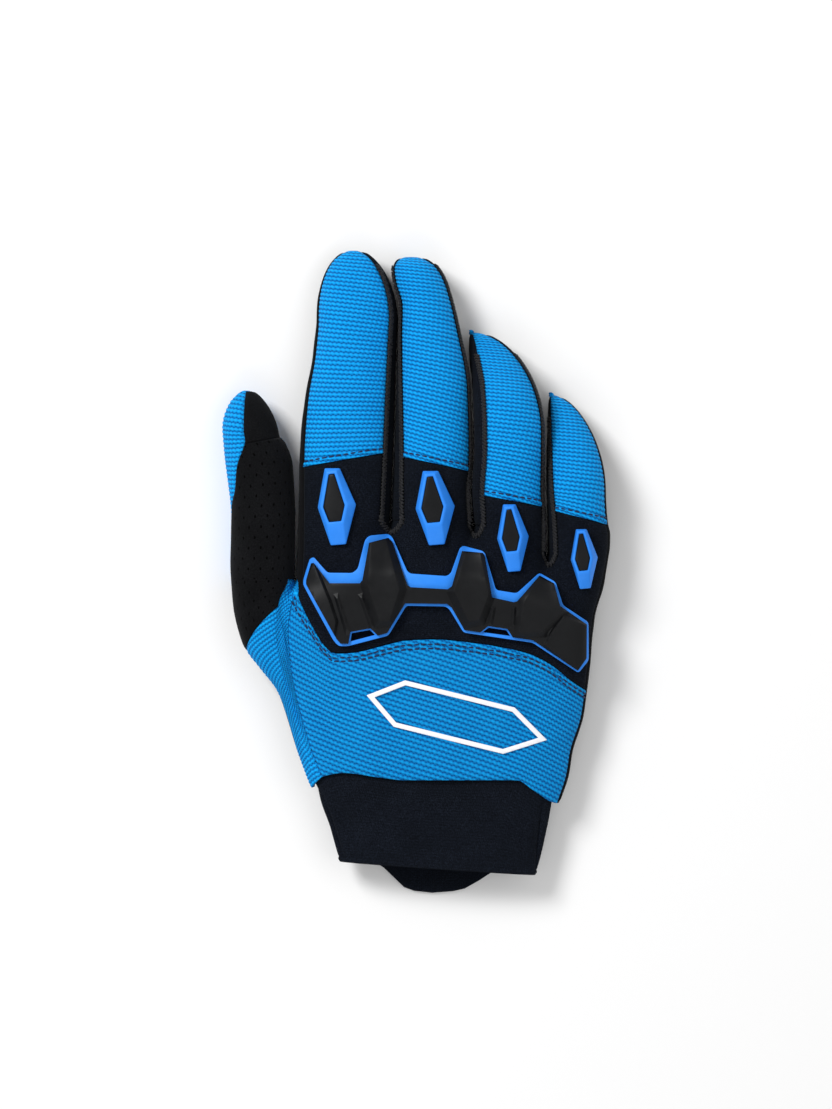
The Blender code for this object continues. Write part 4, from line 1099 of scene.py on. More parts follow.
# Folds across the backs of the bent fingers.
FINGER_FOLDS = {
    "index": (Fold((-38, 78), (-16, 80), 2.6, -0.30), Fold((-36, 52), (-20, 49), 2.5, -0.25)),
    "middle": (Fold((-4, 78), (16, 81), 2.4, -0.35), Fold((-4, 86), (15, 89), 2.4, -0.35)),
    "ring": (Fold((22, 52), (42, 46), 2.0, -0.35), Fold((22, 60), (40, 52), 2.0, -0.4)),
    "little": (Fold((50, 34), (66, 29), 1.8, -0.35), Fold((50, 42), (66, 35), 1.8, -0.35)),
}
RIB_SLOPE = 7.0


class GLOVE_OT_finger_backs(GloveOperator, bpy.types.Operator):
    """Sew the blue ribbed backs of the four fingers, closed round their tips"""

    bl_idname = "glove.finger_backs"
    bl_label = "Finger Backs"

    def execute(self, context):
        sizes = context.scene.glove_sizes
        for number, ray in enumerate(FINGERS):
            rows = finger_rows(ray, STRIP_END)
            back = patch(ray, rows, 0, RIGHT_SLOT, 30, slope=RIB_SLOPE, hem=0)
            cap = tip_cap(ray, back, ((0, RIGHT_SLOT, 30), (RIGHT_SLOT, ALL_SLOTS, 40)))
            relief = Relief(
                rib=sizes.rib_height / MM, pitch=sizes.finger_rib / MM, hem=1.0, folds=FINGER_FOLDS[ray.name],
                seed=10 + number, capped=True,
            )
            sew(f"{ray.name}_back_cloth", [back, *cap], relief, material_of("knit"), sizes.cloth,
                f"{ray.name}_back")
        return {"FINISHED"}


class GLOVE_OT_side_strips(GloveOperator, bpy.types.Operator):
    """Sew the black strips between the fingers, each in one piece round its crotch"""

    bl_idname = "glove.side_strips"
    bl_label = "Side Strips"

    def execute(self, context):
        for left_ray in (INDEX, MIDDLE, RING):
            right_ray = RAYS[RAYS.index(left_ray) + 1]
            grids = []
            for ray, first, last in ((left_ray, RIGHT_SLOT, PALM_SLOT), (right_ray, LEFT_SLOT, ALL_SLOTS)):
                rows = strip_rows(ray, ray.plan.length * 0.7, 0.0009)
                grids.append(patch(ray, rows, first, last, 16))
            turn = turn_grid(left_ray, spread(0, GAP_COLUMNS, 16), spread(0, SIDE_COLUMNS, 16))
            grids.append(cloth_grid(turn))
            relief = Relief(roll=0.3, lumps=0.15, seed=20)
            sew(f"side_strip_{left_ray.name}_{right_ray.name}", grids, relief, material_of("strip"), 0.8 * MM,
                f"fourchette_{left_ray.name}_{right_ray.name}")
        return {"FINISHED"}


PALM_FOLDS = (
    Fold((-34, -8), (50, 2), 1.6, -0.5),
    Fold((-30, -20), (40, -12), 1.8, -0.45),
    Fold((-36, -2), (-22, -60), 2.0, -0.5),
    Fold((-36, 45), (-12, 45), 1.3, -0.5),
    Fold((-36, 72), (-12, 72), 1.3, -0.5),
    Fold((-8, 48), (18, 48), 1.3, -0.5),
    Fold((-6, 76), (16, 76), 1.3, -0.5),
    Fold((20, 38), (46, 38), 1.3, -0.5),
    Fold((48, 26), (68, 26), 1.3, -0.5),
)


def palm_columns(rows):
    """Points under the hand from its right side to the index finger's left edge."""
    parts = [ray_grid(LITTLE, spread(RIGHT_SLOT, LEFT_SLOT, 32), rows)]
    for left_ray in reversed(RAYS[1:4]):
        parts.append(gap_grid(left_ray, spread(GAP_COLUMNS, 0, 8)[1:-1], rows, -1))
        parts.append(ray_grid(left_ray, spread(PALM_SLOT, LEFT_SLOT, 16), rows))
    return np.concatenate(parts, axis=1)


class GLOVE_OT_palm(GloveOperator, bpy.types.Operator):
    """Sew the black suede palm with the finger fronts and the wraps up the hand's outer sides"""

    bl_idname = "glove.palm"
    bl_label = "Palm"

    def execute(self, context):
        cell = 0.0011
        low = rows_between(0, BACK_ROWS, BACK_RUN, cell)
        high = rows_between(BACK_ROWS, INDEX.base_row, KNUCKLE_RUN, cell)
        grids = [palm_columns(np.concatenate([low, high[1:]]))]
        grids.append(np.concatenate([
            gap_grid(THUMB, spread(GAP_COLUMNS, 0, 8)[:-1], low, -1),
            ray_grid(THUMB, spread(PALM_SLOT, ALL_SLOTS, 32), low),
        ], axis=1))
        outer = np.concatenate([high, self.finger_length(INDEX, cell)[1:]])
        grids.append(ray_grid(INDEX, spread(LEFT_SLOT, ALL_SLOTS, 16), outer))
        for ray in (INDEX, MIDDLE, RING):
            grids.append(ray_grid(ray, spread(PALM_SLOT, LEFT_SLOT, 16), self.finger_length(ray, cell)))
        grids.append(ray_grid(LITTLE, spread(RIGHT_SLOT, LEFT_SLOT, 32), self.finger_length(LITTLE, cell)))
        grids = [plan_cloth(cloth_grid(points), 0) for points in grids]
        relief = Relief(roll=0.45, lumps=0.3, folds=PALM_FOLDS, seed=30)
        sew("palm_suede", grids, relief, material_of("suede"), 1.0 * MM, "palm")
        return {"FINISHED"}

    def finger_length(self, ray, cell):
        return strip_rows(ray, ray.plan.length * 0.75, cell)


THUMB_FOLDS = (Fold((-50, 8), (-44, 20), 2.4, -0.4), Fold((-66, -18), (-52, -6), 3.0, -0.4))
GUSSET_FOLDS = (
    Fold((-47, -8), (-49, -28), 1.6, -0.8),
    Fold((-58, -30), (-48, -44), 2.5, 0.4),
    Fold((-56, -40), (-44, -56), 2.2, -0.3),
)
GUSSET_TURN = 24.0


class GLOVE_OT_thumb(GloveOperator, bpy.types.Operator):
    """Sew the thumb: blue back and gusset, punched overlay and smooth tip patch"""

    bl_idname = "glove.thumb"
    bl_label = "Thumb"

    def execute(self, context):
        sizes = context.scene.glove_sizes
        rib = sizes.rib_height / MM
        pitch = sizes.finger_rib / MM
        cell = 0.0004
        rows = rows_between(0, GUSSET_ROWS, 0.05, cell)
        upper = rows_between(GUSSET_ROWS, BACK_ROWS, 0.02, cell)
        gap = spread(0, GAP_COLUMNS, 12)
        tube = patch(THUMB, rows, 0, RIGHT_SLOT, 28)
        flank = cloth_grid(gap_grid(THUMB, gap, np.concatenate([rows, upper[1:]]), 1))
        web = turn_grid(THUMB, spread(0, GAP_COLUMNS, 12), spread(0, SIDE_COLUMNS, 16))
        grids = [
            plan_cloth(tube, GUSSET_TURN, anchor=-1), plan_cloth(flank, GUSSET_TURN, anchor=0), cloth_grid(web),
        ]
        relief = Relief(rib=rib, pitch=pitch, folds=GUSSET_FOLDS, roll=0.3, lumps=0.4, seed=40)
        gusset = sew("thumb_gusset_cloth", grids, relief, material_of("knit"), 0.6 * MM, "thumb_gusset")
        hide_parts("thumb_web")

        wide = rows_between(GUSSET_ROWS, BACK_ROWS, 0.02, 0.0008)
        tube = rows_between(THUMB.base_row, THUMB.panel_row, 0.048, 0.0008)
        grids = [patch(THUMB, wide, 0, RIGHT_SLOT, 24), patch(THUMB, tube, 0, PALM_SLOT, 40)]
        relief = Relief(folds=THUMB_FOLDS, roll=0.1, lumps=0.3, seed=41)
        sew("thumb_overlay", grids, relief, material_of("punched"), 1.0 * MM, "thumb_palm")

        turns = rows_between(THUMB.panel_row, THUMB.nose_row + STRIP_END, 0.024, 0.0008)
        grids = [patch(THUMB, turns, 0, PALM_SLOT, 40)]
        sew("thumb_tip_patch", grids, Relief(roll=0.4, lumps=0.15, seed=42), material_of("suede"), 1.0 * MM,
            "thumb_tip")

        rows = rows_between(THUMB.base_row, THUMB.nose_row + STRIP_END, 0.075, cell)
        back = patch(THUMB, rows, PALM_SLOT, ALL_SLOTS, 34, slope=6.0)
        relief = Relief(rib=rib, pitch=pitch, roll=0.4, seed=43, capped=True)
        cap = tip_cap(THUMB, back, ((PALM_SLOT, ALL_SLOTS, 34), (0, PALM_SLOT, 40)))
        sew("thumb_back_cloth", [back, *cap], relief, material_of("knit"), sizes.cloth, "thumb_back")

        return {"FINISHED"}


CuffRow = namedtuple("CuffRow", "along left right top bottom")
CUFF_ROWS = (
    CuffRow(0.0, 0.0, 0.0, 0.0, 0.0),
    CuffRow(0.25, 0.012, 0.012, 0.002, -0.004),
    CuffRow(0.60, 0.044, 0.034, 0.006, -0.006),
    CuffRow(1.0, 0.074, 0.060, 0.012, 0.0),
)
CUFF_SLANT = 0.0048
CUFF_FOLDS = (
    Fold((-33.5, -79), (-25, -105), 0.5, -0.75),
    Fold((45.5, -80), (42.5, -109), 0.5, -0.75),
    Fold((-30, -80), (-20, -96), 2.4, -0.7),
    Fold((-24, -82), (-15, -100), 2.0, 0.45),
    Fold((45, -84), (43, -102), 1.6, -0.5),
    Fold((41, -88), (40, -102), 1.6, 0.35),
)


def cuff_grid(columns, rows):
    """Outer face of the cuff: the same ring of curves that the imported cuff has, sampled finely."""
    curves = {
        name: Curve([(row.along, getattr(row, name)) for row in CUFF_ROWS])
        for name in ("left", "right", "top", "bottom")
    }
    angle = np.linspace(0, 2 * math.pi, columns + 1)[None, :]
    along = np.linspace(0, 1, rows + 1)[:, None]
    c = np.cos(angle)
    s = np.sin(angle)
    across = np.sign(c) * np.abs(c) ** (2 / BODY_POWER)
    up = np.sign(s) * np.abs(s) ** (2 / BODY_POWER)
    end = CUFF_END_Y - CUFF_SLANT * ((across + 1) / 2 - 0.1)
    y = blend(palm_y(CUFF_SEAM((across + 1) / 2)) + CUFF_TUCK, end, along)
    share = (y - CUFF_SEAM_Y) / PALM_LENGTH
    low, high = body_ends(np.maximum(y, palm_y(-0.09)))
    low = low + CUFF_INSET + curves["left"](along) * HAND_WIDTH
    high = high - CUFF_INSET - curves["right"](along) * HAND_WIDTH
    top = BACK_RISE * BODY_RISE(share) - CUFF_INSET - curves["top"](along) * HAND_WIDTH
    bottom = PALM_DROP * BODY_DROP(share) - CUFF_INSET - curves["bottom"](along) * HAND_WIDTH
    x = (low + high) / 2 + (high - low) / 2 * across
    z = SIDE_SEAM_HEIGHT + np.where(up >= 0, top, bottom) * up
    z = np.maximum(z, np.where(along < 0.2, CUFF_INSET, TAB_WALL + 0.4 * MM))
    return np.stack(np.broadcast_arrays(x, y, z), axis=-1)


class GLOVE_OT_cuff(GloveOperator, bpy.types.Operator):
    """Sew the black elastic cuff, which is open at the wrist"""

    bl_idname = "glove.cuff"
    bl_label = "Cuff"

    def execute(self, context):
        grid = cloth_grid(cuff_grid(200, 60), hem=-1)
        relief = Relief(roll=0.3, hem=0.8, folds=CUFF_FOLDS, lumps=0.45, lump_size=0.014, seed=50)
        sew("cuff_elastic", [grid], relief, material_of("elastic"), 1.8 * MM, "cuff")
        return {"FINISHED"}


# Outline of the pull tab: share across the wrist, share of its length below the cuff's end.
TAB_OUTLINE = (
    (0.25, -0.55), (0.74, -0.55), (0.74, 0.20), (0.66, 0.62), (0.605, 0.87), (0.56, 0.95), (0.48, 1.0),
    (0.41, 0.94), (0.37, 0.82), (0.29, 0.20), (0.25, 0.02),
)


class GLOVE_OT_pull_tab(GloveOperator, bpy.types.Operator):
    """Cut the pull tab under the cuff's end"""

    bl_idname = "glove.pull_tab"
    bl_label = "Pull Tab"

    def execute(self, context):
        low, high = body_ends(palm_y(0.0))
        corners = [
            (blend(low, high, across), CUFF_END_Y - below * TAB_LENGTH) for across, below in reversed(TAB_OUTLINE)
        ]
        edge = 0.35 * MM
        mesh = slab(corners, [(0.0, 0.0), (0.15 * MM, edge), (0.0, TAB_WALL - edge), (edge, TAB_WALL)])
        cut_cells(mesh, 3 * MM)
        tab = put_in_scene("pull_tab_cloth", mesh, material_of("elastic"), 40)
        cloth_by_plan(tab)
        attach(tab, BODY)
        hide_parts("pull_tab")
        return {"FINISHED"}


def cloth_by_plan(thing):
    """Cloth coordinates from above, in millimetres, for a flat piece."""
    layer = thing.data.uv_layers.new(name="cloth")
    for loop in thing.data.loops:
        place = thing.data.vertices[loop.vertex_index].co
        layer.data[loop.index].uv = (place.x / MM, place.y / MM)


# Moulded pieces

GUARD_STANDOFF = 0.4


def mould(name, mesh, ray, lift, finish, node, smooth_angle=35):
    """Lays a moulded piece on the hand, in its node's place."""
    thing = put_in_scene(name, drape(mesh, ray, (GUARD_STANDOFF + lift) * MM), material_of(finish), smooth_angle)
    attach(thing, BODY)
    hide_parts(node)


def drawn_in(outline, distance):
    """The outline moved inward by a distance, corner by corner."""
    points = [Vector(point) for point in outline]
    count = len(points)
    moved = []
    for i, point in enumerate(points):
        before = (point - points[i - 1]).normalized()
        after = (points[(i + 1) % count] - point).normalized()
        first = Vector((-before.y, before.x))
        second = Vector((-after.y, after.x))
        shift = (first + second) / max(1 + first.dot(second), 0.4) * distance
        moved.append((point.x + shift.x, point.y + shift.y))
    return moved


def rounded_corners(outline, radius, count=3):
    """The outline with each corner replaced by a short curve."""
    points = [Vector(point) for point in outline]
    made = []
    for i, point in enumerate(points):
        before = points[i - 1] - point
        after = points[(i + 1) % len(points)] - point
        reach = min(radius, 0.42 * before.length, 0.42 * after.length)
        start = point + before.normalized() * reach
        end = point + after.normalized() * reach
        for k in range(count + 1):
            t = k / count
            made.append(tuple((1 - t) ** 2 * start + 2 * t * (1 - t) * point + t * t * end))
    return made


def stack(rings):
    """A closed mesh through rings of equal counts, given from the lowest to the highest."""
    mesh = bmesh.new()
    made = [[mesh.verts.new((x, y, z)) for x, y in outline] for outline, z in rings]
    count = len(made[0])
    for lower, upper in zip(made, made[1:]):
        for i in range(count):
            j = (i + 1) % count
            mesh.faces.new((lower[i], lower[j], upper[j], upper[i]))
    mesh.faces.new(list(reversed(made[0])))
    mesh.faces.new(made[-1])
    bmesh.ops.recalc_face_normals(mesh, faces=mesh.faces)
    return mesh


def slab(outline, steps):
    """A closed slab whose rings are drawn in by the first number of each step, at its second."""
    return stack([(drawn_in(outline, inset), z) for inset, z in steps])


def cut_cells(mesh, size):
    """Cuts a mesh into square cells, seen from above."""
    for axis in (0, 1):
        ends = [vertex.co[axis] for vertex in mesh.verts]
        cuts = int((max(ends) - min(ends)) / size) + 1
        for i in range(1, cuts):
            plane = Vector((0, 0, 0))
            plane[axis] = blend(min(ends), max(ends), i / cuts)
            direction = Vector((0, 0, 0))
            direction[axis] = 1
            geometry = mesh.verts[:] + mesh.edges[:] + mesh.faces[:]
            bmesh.ops.bisect_plane(mesh, geom=geometry, dist=1e-6, plane_co=plane, plane_no=direction)


def drape(mesh, ray, lift, cell=1.6):
    """Lays a flat-bottomed mesh on the back of the hand."""
    cut_cells(mesh, cell * MM)
    bmesh.ops.triangulate(mesh, faces=[face for face in mesh.faces if len(face.verts) > 4])
    places = np.array([vertex.co[:] for vertex in mesh.verts])
    tops = top_of(ray, places[:, 0], places[:, 1])
    for vertex, top in zip(mesh.verts, tops):
        vertex.co.z += float(top) + lift
    return mesh


def plain_object(name, mesh):
    data = bpy.data.meshes.new(name)
    mesh.to_mesh(data)
    mesh.free()
    thing = bpy.data.objects.new(name, data)
    bpy.context.scene.collection.objects.link(thing)
    return thing


def carved(name, mesh, joined=(), kept=(), cut=(), bevel=0.0, segments=2):
    """Joins, trims and cuts meshes in turn, rounds the edges, and gives the result as a bmesh."""
    thing = plain_object(name, mesh)
    helpers = []
    for operation, others in (("UNION", joined), ("INTERSECT", kept), ("DIFFERENCE", cut)):
        for number, other in enumerate(others):
            helper = plain_object(f"{name}_{operation.lower()}_{number}", other)
            helper.hide_render = True
            change = thing.modifiers.new(helper.name, "BOOLEAN")
            change.operation = operation
            change.object = helper
            helpers.append(helper)
    if bevel:
        round_off = thing.modifiers.new("round", "BEVEL")
        round_off.width = bevel
        round_off.segments = segments
        round_off.limit_method = "ANGLE"
        round_off.angle_limit = math.radians(18)
    made = bmesh.new()
    made.from_object(thing, bpy.context.evaluated_depsgraph_get())
    for helper in [thing, *helpers]:
        bpy.data.objects.remove(helper)
    return made


GUARD_HEX = ((-0.158, -0.5), (0.237, -0.484), (0.5, 0.03), (0.079, 0.5), (-0.316, 0.5), (-0.5, -0.01))
INLAY_HEX = ((-0.20, -0.20), (0.12, -0.185), (0.21, 0.02), (-0.06, 0.43), (-0.21, 0.42), (-0.355, -0.005))
FingerGuard = namedtuple("FingerGuard", "ray x y width height")
FINGER_GUARDS = (
    FingerGuard(INDEX, -0.0280, 0.0227, 0.0136, 0.0273),
    FingerGuard(MIDDLE, 0.0068, 0.0222, 0.0139, 0.0263),
    FingerGuard(RING, 0.0343, 0.0116, 0.0112, 0.0239),
    FingerGuard(LITTLE, 0.0596, 0.0042, 0.0096, 0.0212),
)
FINGER_GUARD_HEIGHT = 3.5
# Where a finger guard's sides turn in, as a share of its height.
GUARD_SHOULDER = 0.42


def placed(outline, centre_x, centre_y, width, tall):
    return [(centre_x + across * width, centre_y + along * tall) for across, along in outline]


def guard_outline(shares):
    return placed(shares, GUARD_X, GUARD_Y, GUARD_WIDTH, GUARD_HEIGHT)


class GLOVE_OT_finger_guards(GloveOperator, bpy.types.Operator):
    """Mould the hexagonal finger guards with their black inlays"""

    bl_idname = "glove.finger_guards"
    bl_label = "Finger Guards"

    def execute(self, context):
        bevel = context.scene.glove_sizes.guard_bevel
        deep = FINGER_GUARD_HEIGHT * MM
        for guard in FINGER_GUARDS:
            name = guard.ray.name
            outline = placed(GUARD_HEX, guard.x, guard.y, guard.width, guard.height)
            pocket = placed(INLAY_HEX, guard.x, guard.y, guard.width, guard.height)
            crest = drawn_in(pocket, -0.9 * MM)
            rings = [
                (outline, 0.0), (outline, deep * GUARD_SHOULDER), (crest, deep), (pocket, deep),
                (pocket, deep - 1.2 * MM),
            ]
            rim = carved("guard", stack(rings), bevel=bevel, segments=3)
            mould(f"{name}_guard_rubber", rim, guard.ray, 0.0, "blue rubber", f"{name}_guard")
            plug = drawn_in(pocket, 0.12 * MM)
            face = drawn_in(plug, 0.5 * MM)
            rings = [(plug, deep - 1.1 * MM), (plug, deep - 0.35 * MM), (face, deep - 0.15 * MM)]
            fill = carved("inlay", stack(rings), bevel=bevel * 0.4)
            mould(f"{name}_inlay_rubber", fill, guard.ray, 0.0, "black rubber", f"{name}_inlay")
        return {"FINISHED"}


KNUCKLE_GUARD_OUTLINE = (
    (-0.463, 0.332), (-0.414, 0.219), (-0.326, 0.217), (-0.308, 0.249), (-0.283, 0.455),
    (-0.269, 0.484), (-0.202, 0.498), (-0.188, 0.473), (-0.136, 0.231), (-0.125, 0.213),
    (0.002, 0.195), (0.016, 0.217), (0.048, 0.397), (0.060, 0.412), (0.127, 0.375),
    (0.136, 0.354), (0.171, 0.108), (0.178, 0.094), (0.245, 0.072), (0.326, 0.219),
    (0.382, 0.152), (0.407, -0.014), (0.498, -0.137), (0.500, -0.412), (0.463, -0.502),
    (0.301, -0.282), (0.060, -0.209), (0.011, -0.043), (-0.003, -0.022), (-0.139, -0.017),
    (-0.202, -0.231), (-0.343, -0.307), (-0.375, -0.307), (-0.393, -0.267), (-0.500, 0.133),
    (-0.500, 0.166), (-0.477, 0.318),
)
CORE_OUTLINE = (
    (-0.463, 0.289), (-0.407, 0.144), (-0.301, 0.144), (-0.292, 0.166), (-0.269, 0.433),
    (-0.202, 0.469), (-0.188, 0.440), (-0.136, 0.133), (-0.125, 0.116), (0.005, 0.101),
    (0.019, 0.123), (0.055, 0.375), (0.127, 0.361), (0.134, 0.339), (0.159, 0.043),
    (0.234, 0.009), (0.246, 0.014), (0.326, 0.199), (0.375, 0.144), (0.396, -0.018),
    (0.491, -0.152), (0.491, -0.397), (0.460, -0.484), (0.301, -0.264), (0.063, -0.191),
    (0.018, -0.029), (0.002, -0.004), (-0.143, 0.000), (-0.206, -0.213), (-0.343, -0.289),
    (-0.368, -0.289), (-0.382, -0.256), (-0.489, 0.137), (-0.489, 0.166), (-0.472, 0.285),
)
CorePad = namedtuple("CorePad", "top slope height")
# Flat tops of the core's raised facets, anticlockwise, with the run of their sides and their height in mm.
CORE_PADS = (
    CorePad(
        ((-0.233, -0.127), (-0.198, -0.120), (-0.164, 0.097), (-0.210, 0.458), (-0.260, 0.441), (-0.273, 0.128)),
        2.6, 2.5,
    ),
    CorePad(
        ((0.078, -0.127), (0.114, -0.113), (0.146, 0.064), (0.117, 0.366), (0.069, 0.359), (0.027, 0.087)),
        2.6, 2.5,
    ),
    CorePad(
        ((0.254, -0.209), (0.336, -0.201), (0.405, -0.053), (0.380, 0.131), (0.326, 0.182), (0.272, 0.020)),
        2.2, 2.1,
    ),
    CorePad(((-0.386, -0.13), (-0.410, 0.02), (-0.463, 0.285), (-0.493, 0.150), (-0.392, -0.22)), 1.1, 1.6),
    CorePad(((0.345, -0.300), (0.458, -0.490), (0.495, -0.408), (0.495, -0.165), (0.410, -0.095)), 0.9, 1.2),
)
# Narrow ridges beside the facets: from one end to the other.
CORE_RIDGES = (
    ((-0.385, 0.07), (-0.340, -0.225)), ((-0.300, 0.07), (-0.252, -0.20)),
    ((0.165, -0.02), (0.150, -0.16)), ((0.235, -0.02), (0.232, -0.17)), ((0.352, -0.235), (0.392, -0.09)),
)
RIM_HEIGHT = 2.1
CORE_HEIGHT = 1.5
# How deep the core sits in the rim.
CORE_SINK = 0.25
RIDGE_HALF = 0.9
RIDGE_HEIGHT = 0.8
# Vents at the lower edge, seen as a blue rim round a dark hole.
VENTS = (
    ((-0.341, -0.288), (-0.238, -0.232), (-0.264, -0.178), (-0.334, -0.204)),
    ((0.116, -0.212), (0.232, -0.246), (0.213, -0.183), (0.146, -0.162)),
)


class GLOVE_OT_knuckle_guard(GloveOperator, bpy.types.Operator):
    """Mould the knuckle guard: a blue rim under a faceted black core with two vents"""

    bl_idname = "glove.knuckle_guard"
    bl_label = "Knuckle Guard"

    def execute(self, context):
        bevel = context.scene.glove_sizes.guard_bevel
        plate = RIM_HEIGHT * MM
        core = CORE_HEIGHT * MM
        outline = rounded_corners(guard_outline(reversed(KNUCKLE_GUARD_OUTLINE)), 0.9 * MM, 2)
        vents = [guard_outline(shares) for shares in VENTS]
        holes = [self.block(drawn_in(vent, 0.55 * MM), -1 * MM, plate + MM) for vent in vents]
        rim = carved("rim", slab(outline, [(0.0, 0.0), (0.0, plate)]), cut=holes, bevel=bevel, segments=3)
        mould("knuckle_guard_rubber", rim, MIDDLE, 0.0, "blue rubber", "knuckle_guard")

        outline = guard_outline(reversed(CORE_OUTLINE))
        pads = []
        for pad in CORE_PADS:
            top = guard_outline(pad.top)
            foot = drawn_in(top, -pad.slope * MM)
            pads.append(stack([(foot, core / 2), (foot, core), (top, core + pad.height * MM)]))
        for start, end in CORE_RIDGES:
            pads.append(self.ridge(*guard_outline((start, end)), core))
        cuts = [self.block(vent, -1 * MM, core + MM) for vent in vents]
        prism = self.block(outline, -MM, 9 * MM)
        body = carved("core", slab(outline, [(0.0, 0.0), (0.0, core)]), pads, [prism], cuts, bevel * 0.7)
        lift = RIM_HEIGHT - CORE_SINK
        mould("knuckle_guard_core_rubber", body, MIDDLE, lift, "black rubber", "knuckle_guard_core", 30)
        return {"FINISHED"}

    def block(self, outline, low, high):
        return stack([(outline, low), (outline, high)])

    def ridge(self, start, end, core):
        start = Vector(start)
        end = Vector(end)
        side = (end - start).orthogonal().normalized() * RIDGE_HALF * MM
        foot = [tuple(p) for p in (start - side, end - side * 1.3, end + side * 1.3, start + side)]
        corners = ((0.12, -0.1), (0.85, -0.1), (0.85, 0.1), (0.12, 0.1))
        crest = [tuple(start.lerp(end, share) + side * out) for share, out in corners]
        if sum(a[0] * b[1] - b[0] * a[1] for a, b in zip(foot, foot[1:] + foot[:1])) < 0:
            foot.reverse()
            crest.reverse()
        return stack([(foot, core / 2), (foot, core), (crest, core + RIDGE_HEIGHT * MM)])


# Stitching


# Length of a topstitch as a share of the distance between two.
STITCH_SHARE = 0.74


def path_on_row(ray, row_at, first, last, count=60):
    """A path across a finger at a row that may vary, with its normals."""
    slots = spread(first, last, count)
    rows = np.array([row_at - 0.01, row_at, row_at + 0.01])
    points = ray_grid(ray, slots, rows)
    return points[1], grid_normals(points)[1]


class GLOVE_OT_stitching(GloveOperator, bpy.types.Operator):
    """Run the topstitching along the hems and the overlock round the finger slits"""

    bl_idname = "glove.stitching"
    bl_label = "Stitching"

    def execute(self, context):
        pitch = context.scene.glove_sizes.topstitch / MM
        hem = bmesh.new()
        for ray in FINGERS:
            spacing = (ray.nose_y - ray.along_y(sum(ray.plan.panel_edge) / 2)) / ray.plan.rows[1] / MM
            row = ray.panel_row + GROOVE_PLACE / spacing
            path, normals = path_on_row(ray, row, 0.15, RIGHT_SLOT - 0.15)
            stitches(hem, path - normals * 0.1 * MM, normals, pitch, STITCH_SHARE * pitch, 0.7)
        row_length = BACK_RUN / MM / BACK_ROWS
        for offset in (1.75, 3.5):
            rows = np.array([BACK_ROWS - offset / row_length + d for d in (-0.02, 0.0, 0.02)])
            points = top_columns(FINGERS, rows, 6)
            normals = grid_normals(points)[1]
            stitches(hem, points[1] - normals * 0.05 * MM, normals, pitch, STITCH_SHARE * pitch, 0.68)
        add_trim("hem_stitching", hem, material_of("blue thread"))

        edge = bmesh.new()
        for left_ray in (INDEX, MIDDLE, RING):
            path, normals = self.slit(left_ray)
            stitches(edge, path, normals, 1.15, 2.5, 0.95, tilt=52, bury=0.1, wander=30)
            stitches(edge, path + normals * 0.2 * MM, normals, 2.3, 2.1, 0.7, tilt=-48, bury=0.0, wander=34)
        add_trim("slit_overlock", edge, material_of("black thread"))
        return {"FINISHED"}

    def slit(self, left_ray):
        """The upper edge of a side strip, down one finger, round the crotch and up the next."""
        right_ray = RAYS[RAYS.index(left_ray) + 1]
        parts = []
        for ray, slot in ((left_ray, RIGHT_SLOT), (right_ray, 0)):
            rows = spread(ray.base_row, ray.nose_row + 2.5, 80)
            points = ray_grid(ray, [slot - 0.05, slot, slot + 0.05], rows)
            parts.append((points[:, 1], grid_normals(points)[:, 1]))
        turn = gap_grid(left_ray, spread(0, GAP_COLUMNS, 16), [left_ray.base_row], 1)[0]
        up = np.tile([0.0, 0.35, 0.94], (len(turn), 1))
        path = np.concatenate([parts[0][0][::-1], turn[1:-1], parts[1][0]])
        normals = np.concatenate([parts[0][1][::-1], up[1:-1], parts[1][1]])
        return path, normals


# Lie and outline of the hexagon in millimetres, its line's width and how far it lies on the ribs.
MOTIF_TURN = -14.0
MOTIF_LINE = 1.7
MOTIF_WALL = 0.34
MOTIF_LIFT = 0.38
MOTIF_CENTRE = (14.5, -52.0)
MOTIF_HEX = ((-33, 0), (-21, -8.5), (19, -8.5), (33, 0), (19, 8.5), (-21, 8.5))


class GLOVE_OT_motif(GloveOperator, bpy.types.Operator):
    """Print a plain white outlined hexagon on the back"""

    bl_idname = "glove.motif"
    bl_label = "Motif"

    def execute(self, context):
        turn = math.radians(MOTIF_TURN)
        outer = [self.turned(point, turn) for point in MOTIF_HEX]
        inner = drawn_in(outer, MOTIF_LINE * MM)
        hole = stack([(inner, -MM), (inner, MM)])
        band = slab(outer, [(0.0, 0.0), (0.0, MOTIF_WALL * MM)])
        ring = carved("motif", band, cut=[hole], bevel=0.08 * MM, segments=1)
        drape(ring, MIDDLE, MOTIF_LIFT * MM, 1.0)
        add_trim("back_motif", ring, material_of("white print"))
        return {"FINISHED"}

    def turned(self, point, turn):
        x = point[0] * math.cos(turn) - point[1] * math.sin(turn) + MOTIF_CENTRE[0]
        y = point[0] * math.sin(turn) + point[1] * math.cos(turn) + MOTIF_CENTRE[1]
        return (x * MM, y * MM)


# Stage

# The photograph is 1109 pixels high, and 0.357 mm of the glove's middle height covers a pixel.
FRAME_HEIGHT_PX = 1109
PHOTO_SCALE = 0.357
VIEW_CENTRE_Y = 6.2
VIEW_DISTANCE = 1.5
FLOOR_SIZE = 6.0
FLOOR_DROP = 0.0002
WORLD_LIGHT = 0.42
Lamp = namedtuple("Lamp", "name place size power")
LAMPS = (
    Lamp("key", (-0.65, 0.60, 0.95), 0.45, 13.0),
    Lamp("fill", (0.7, 0.1, 0.9), 0.9, 2.0),
    Lamp("front", (0.0, -0.9, 0.8), 0.8, 3.0),
)


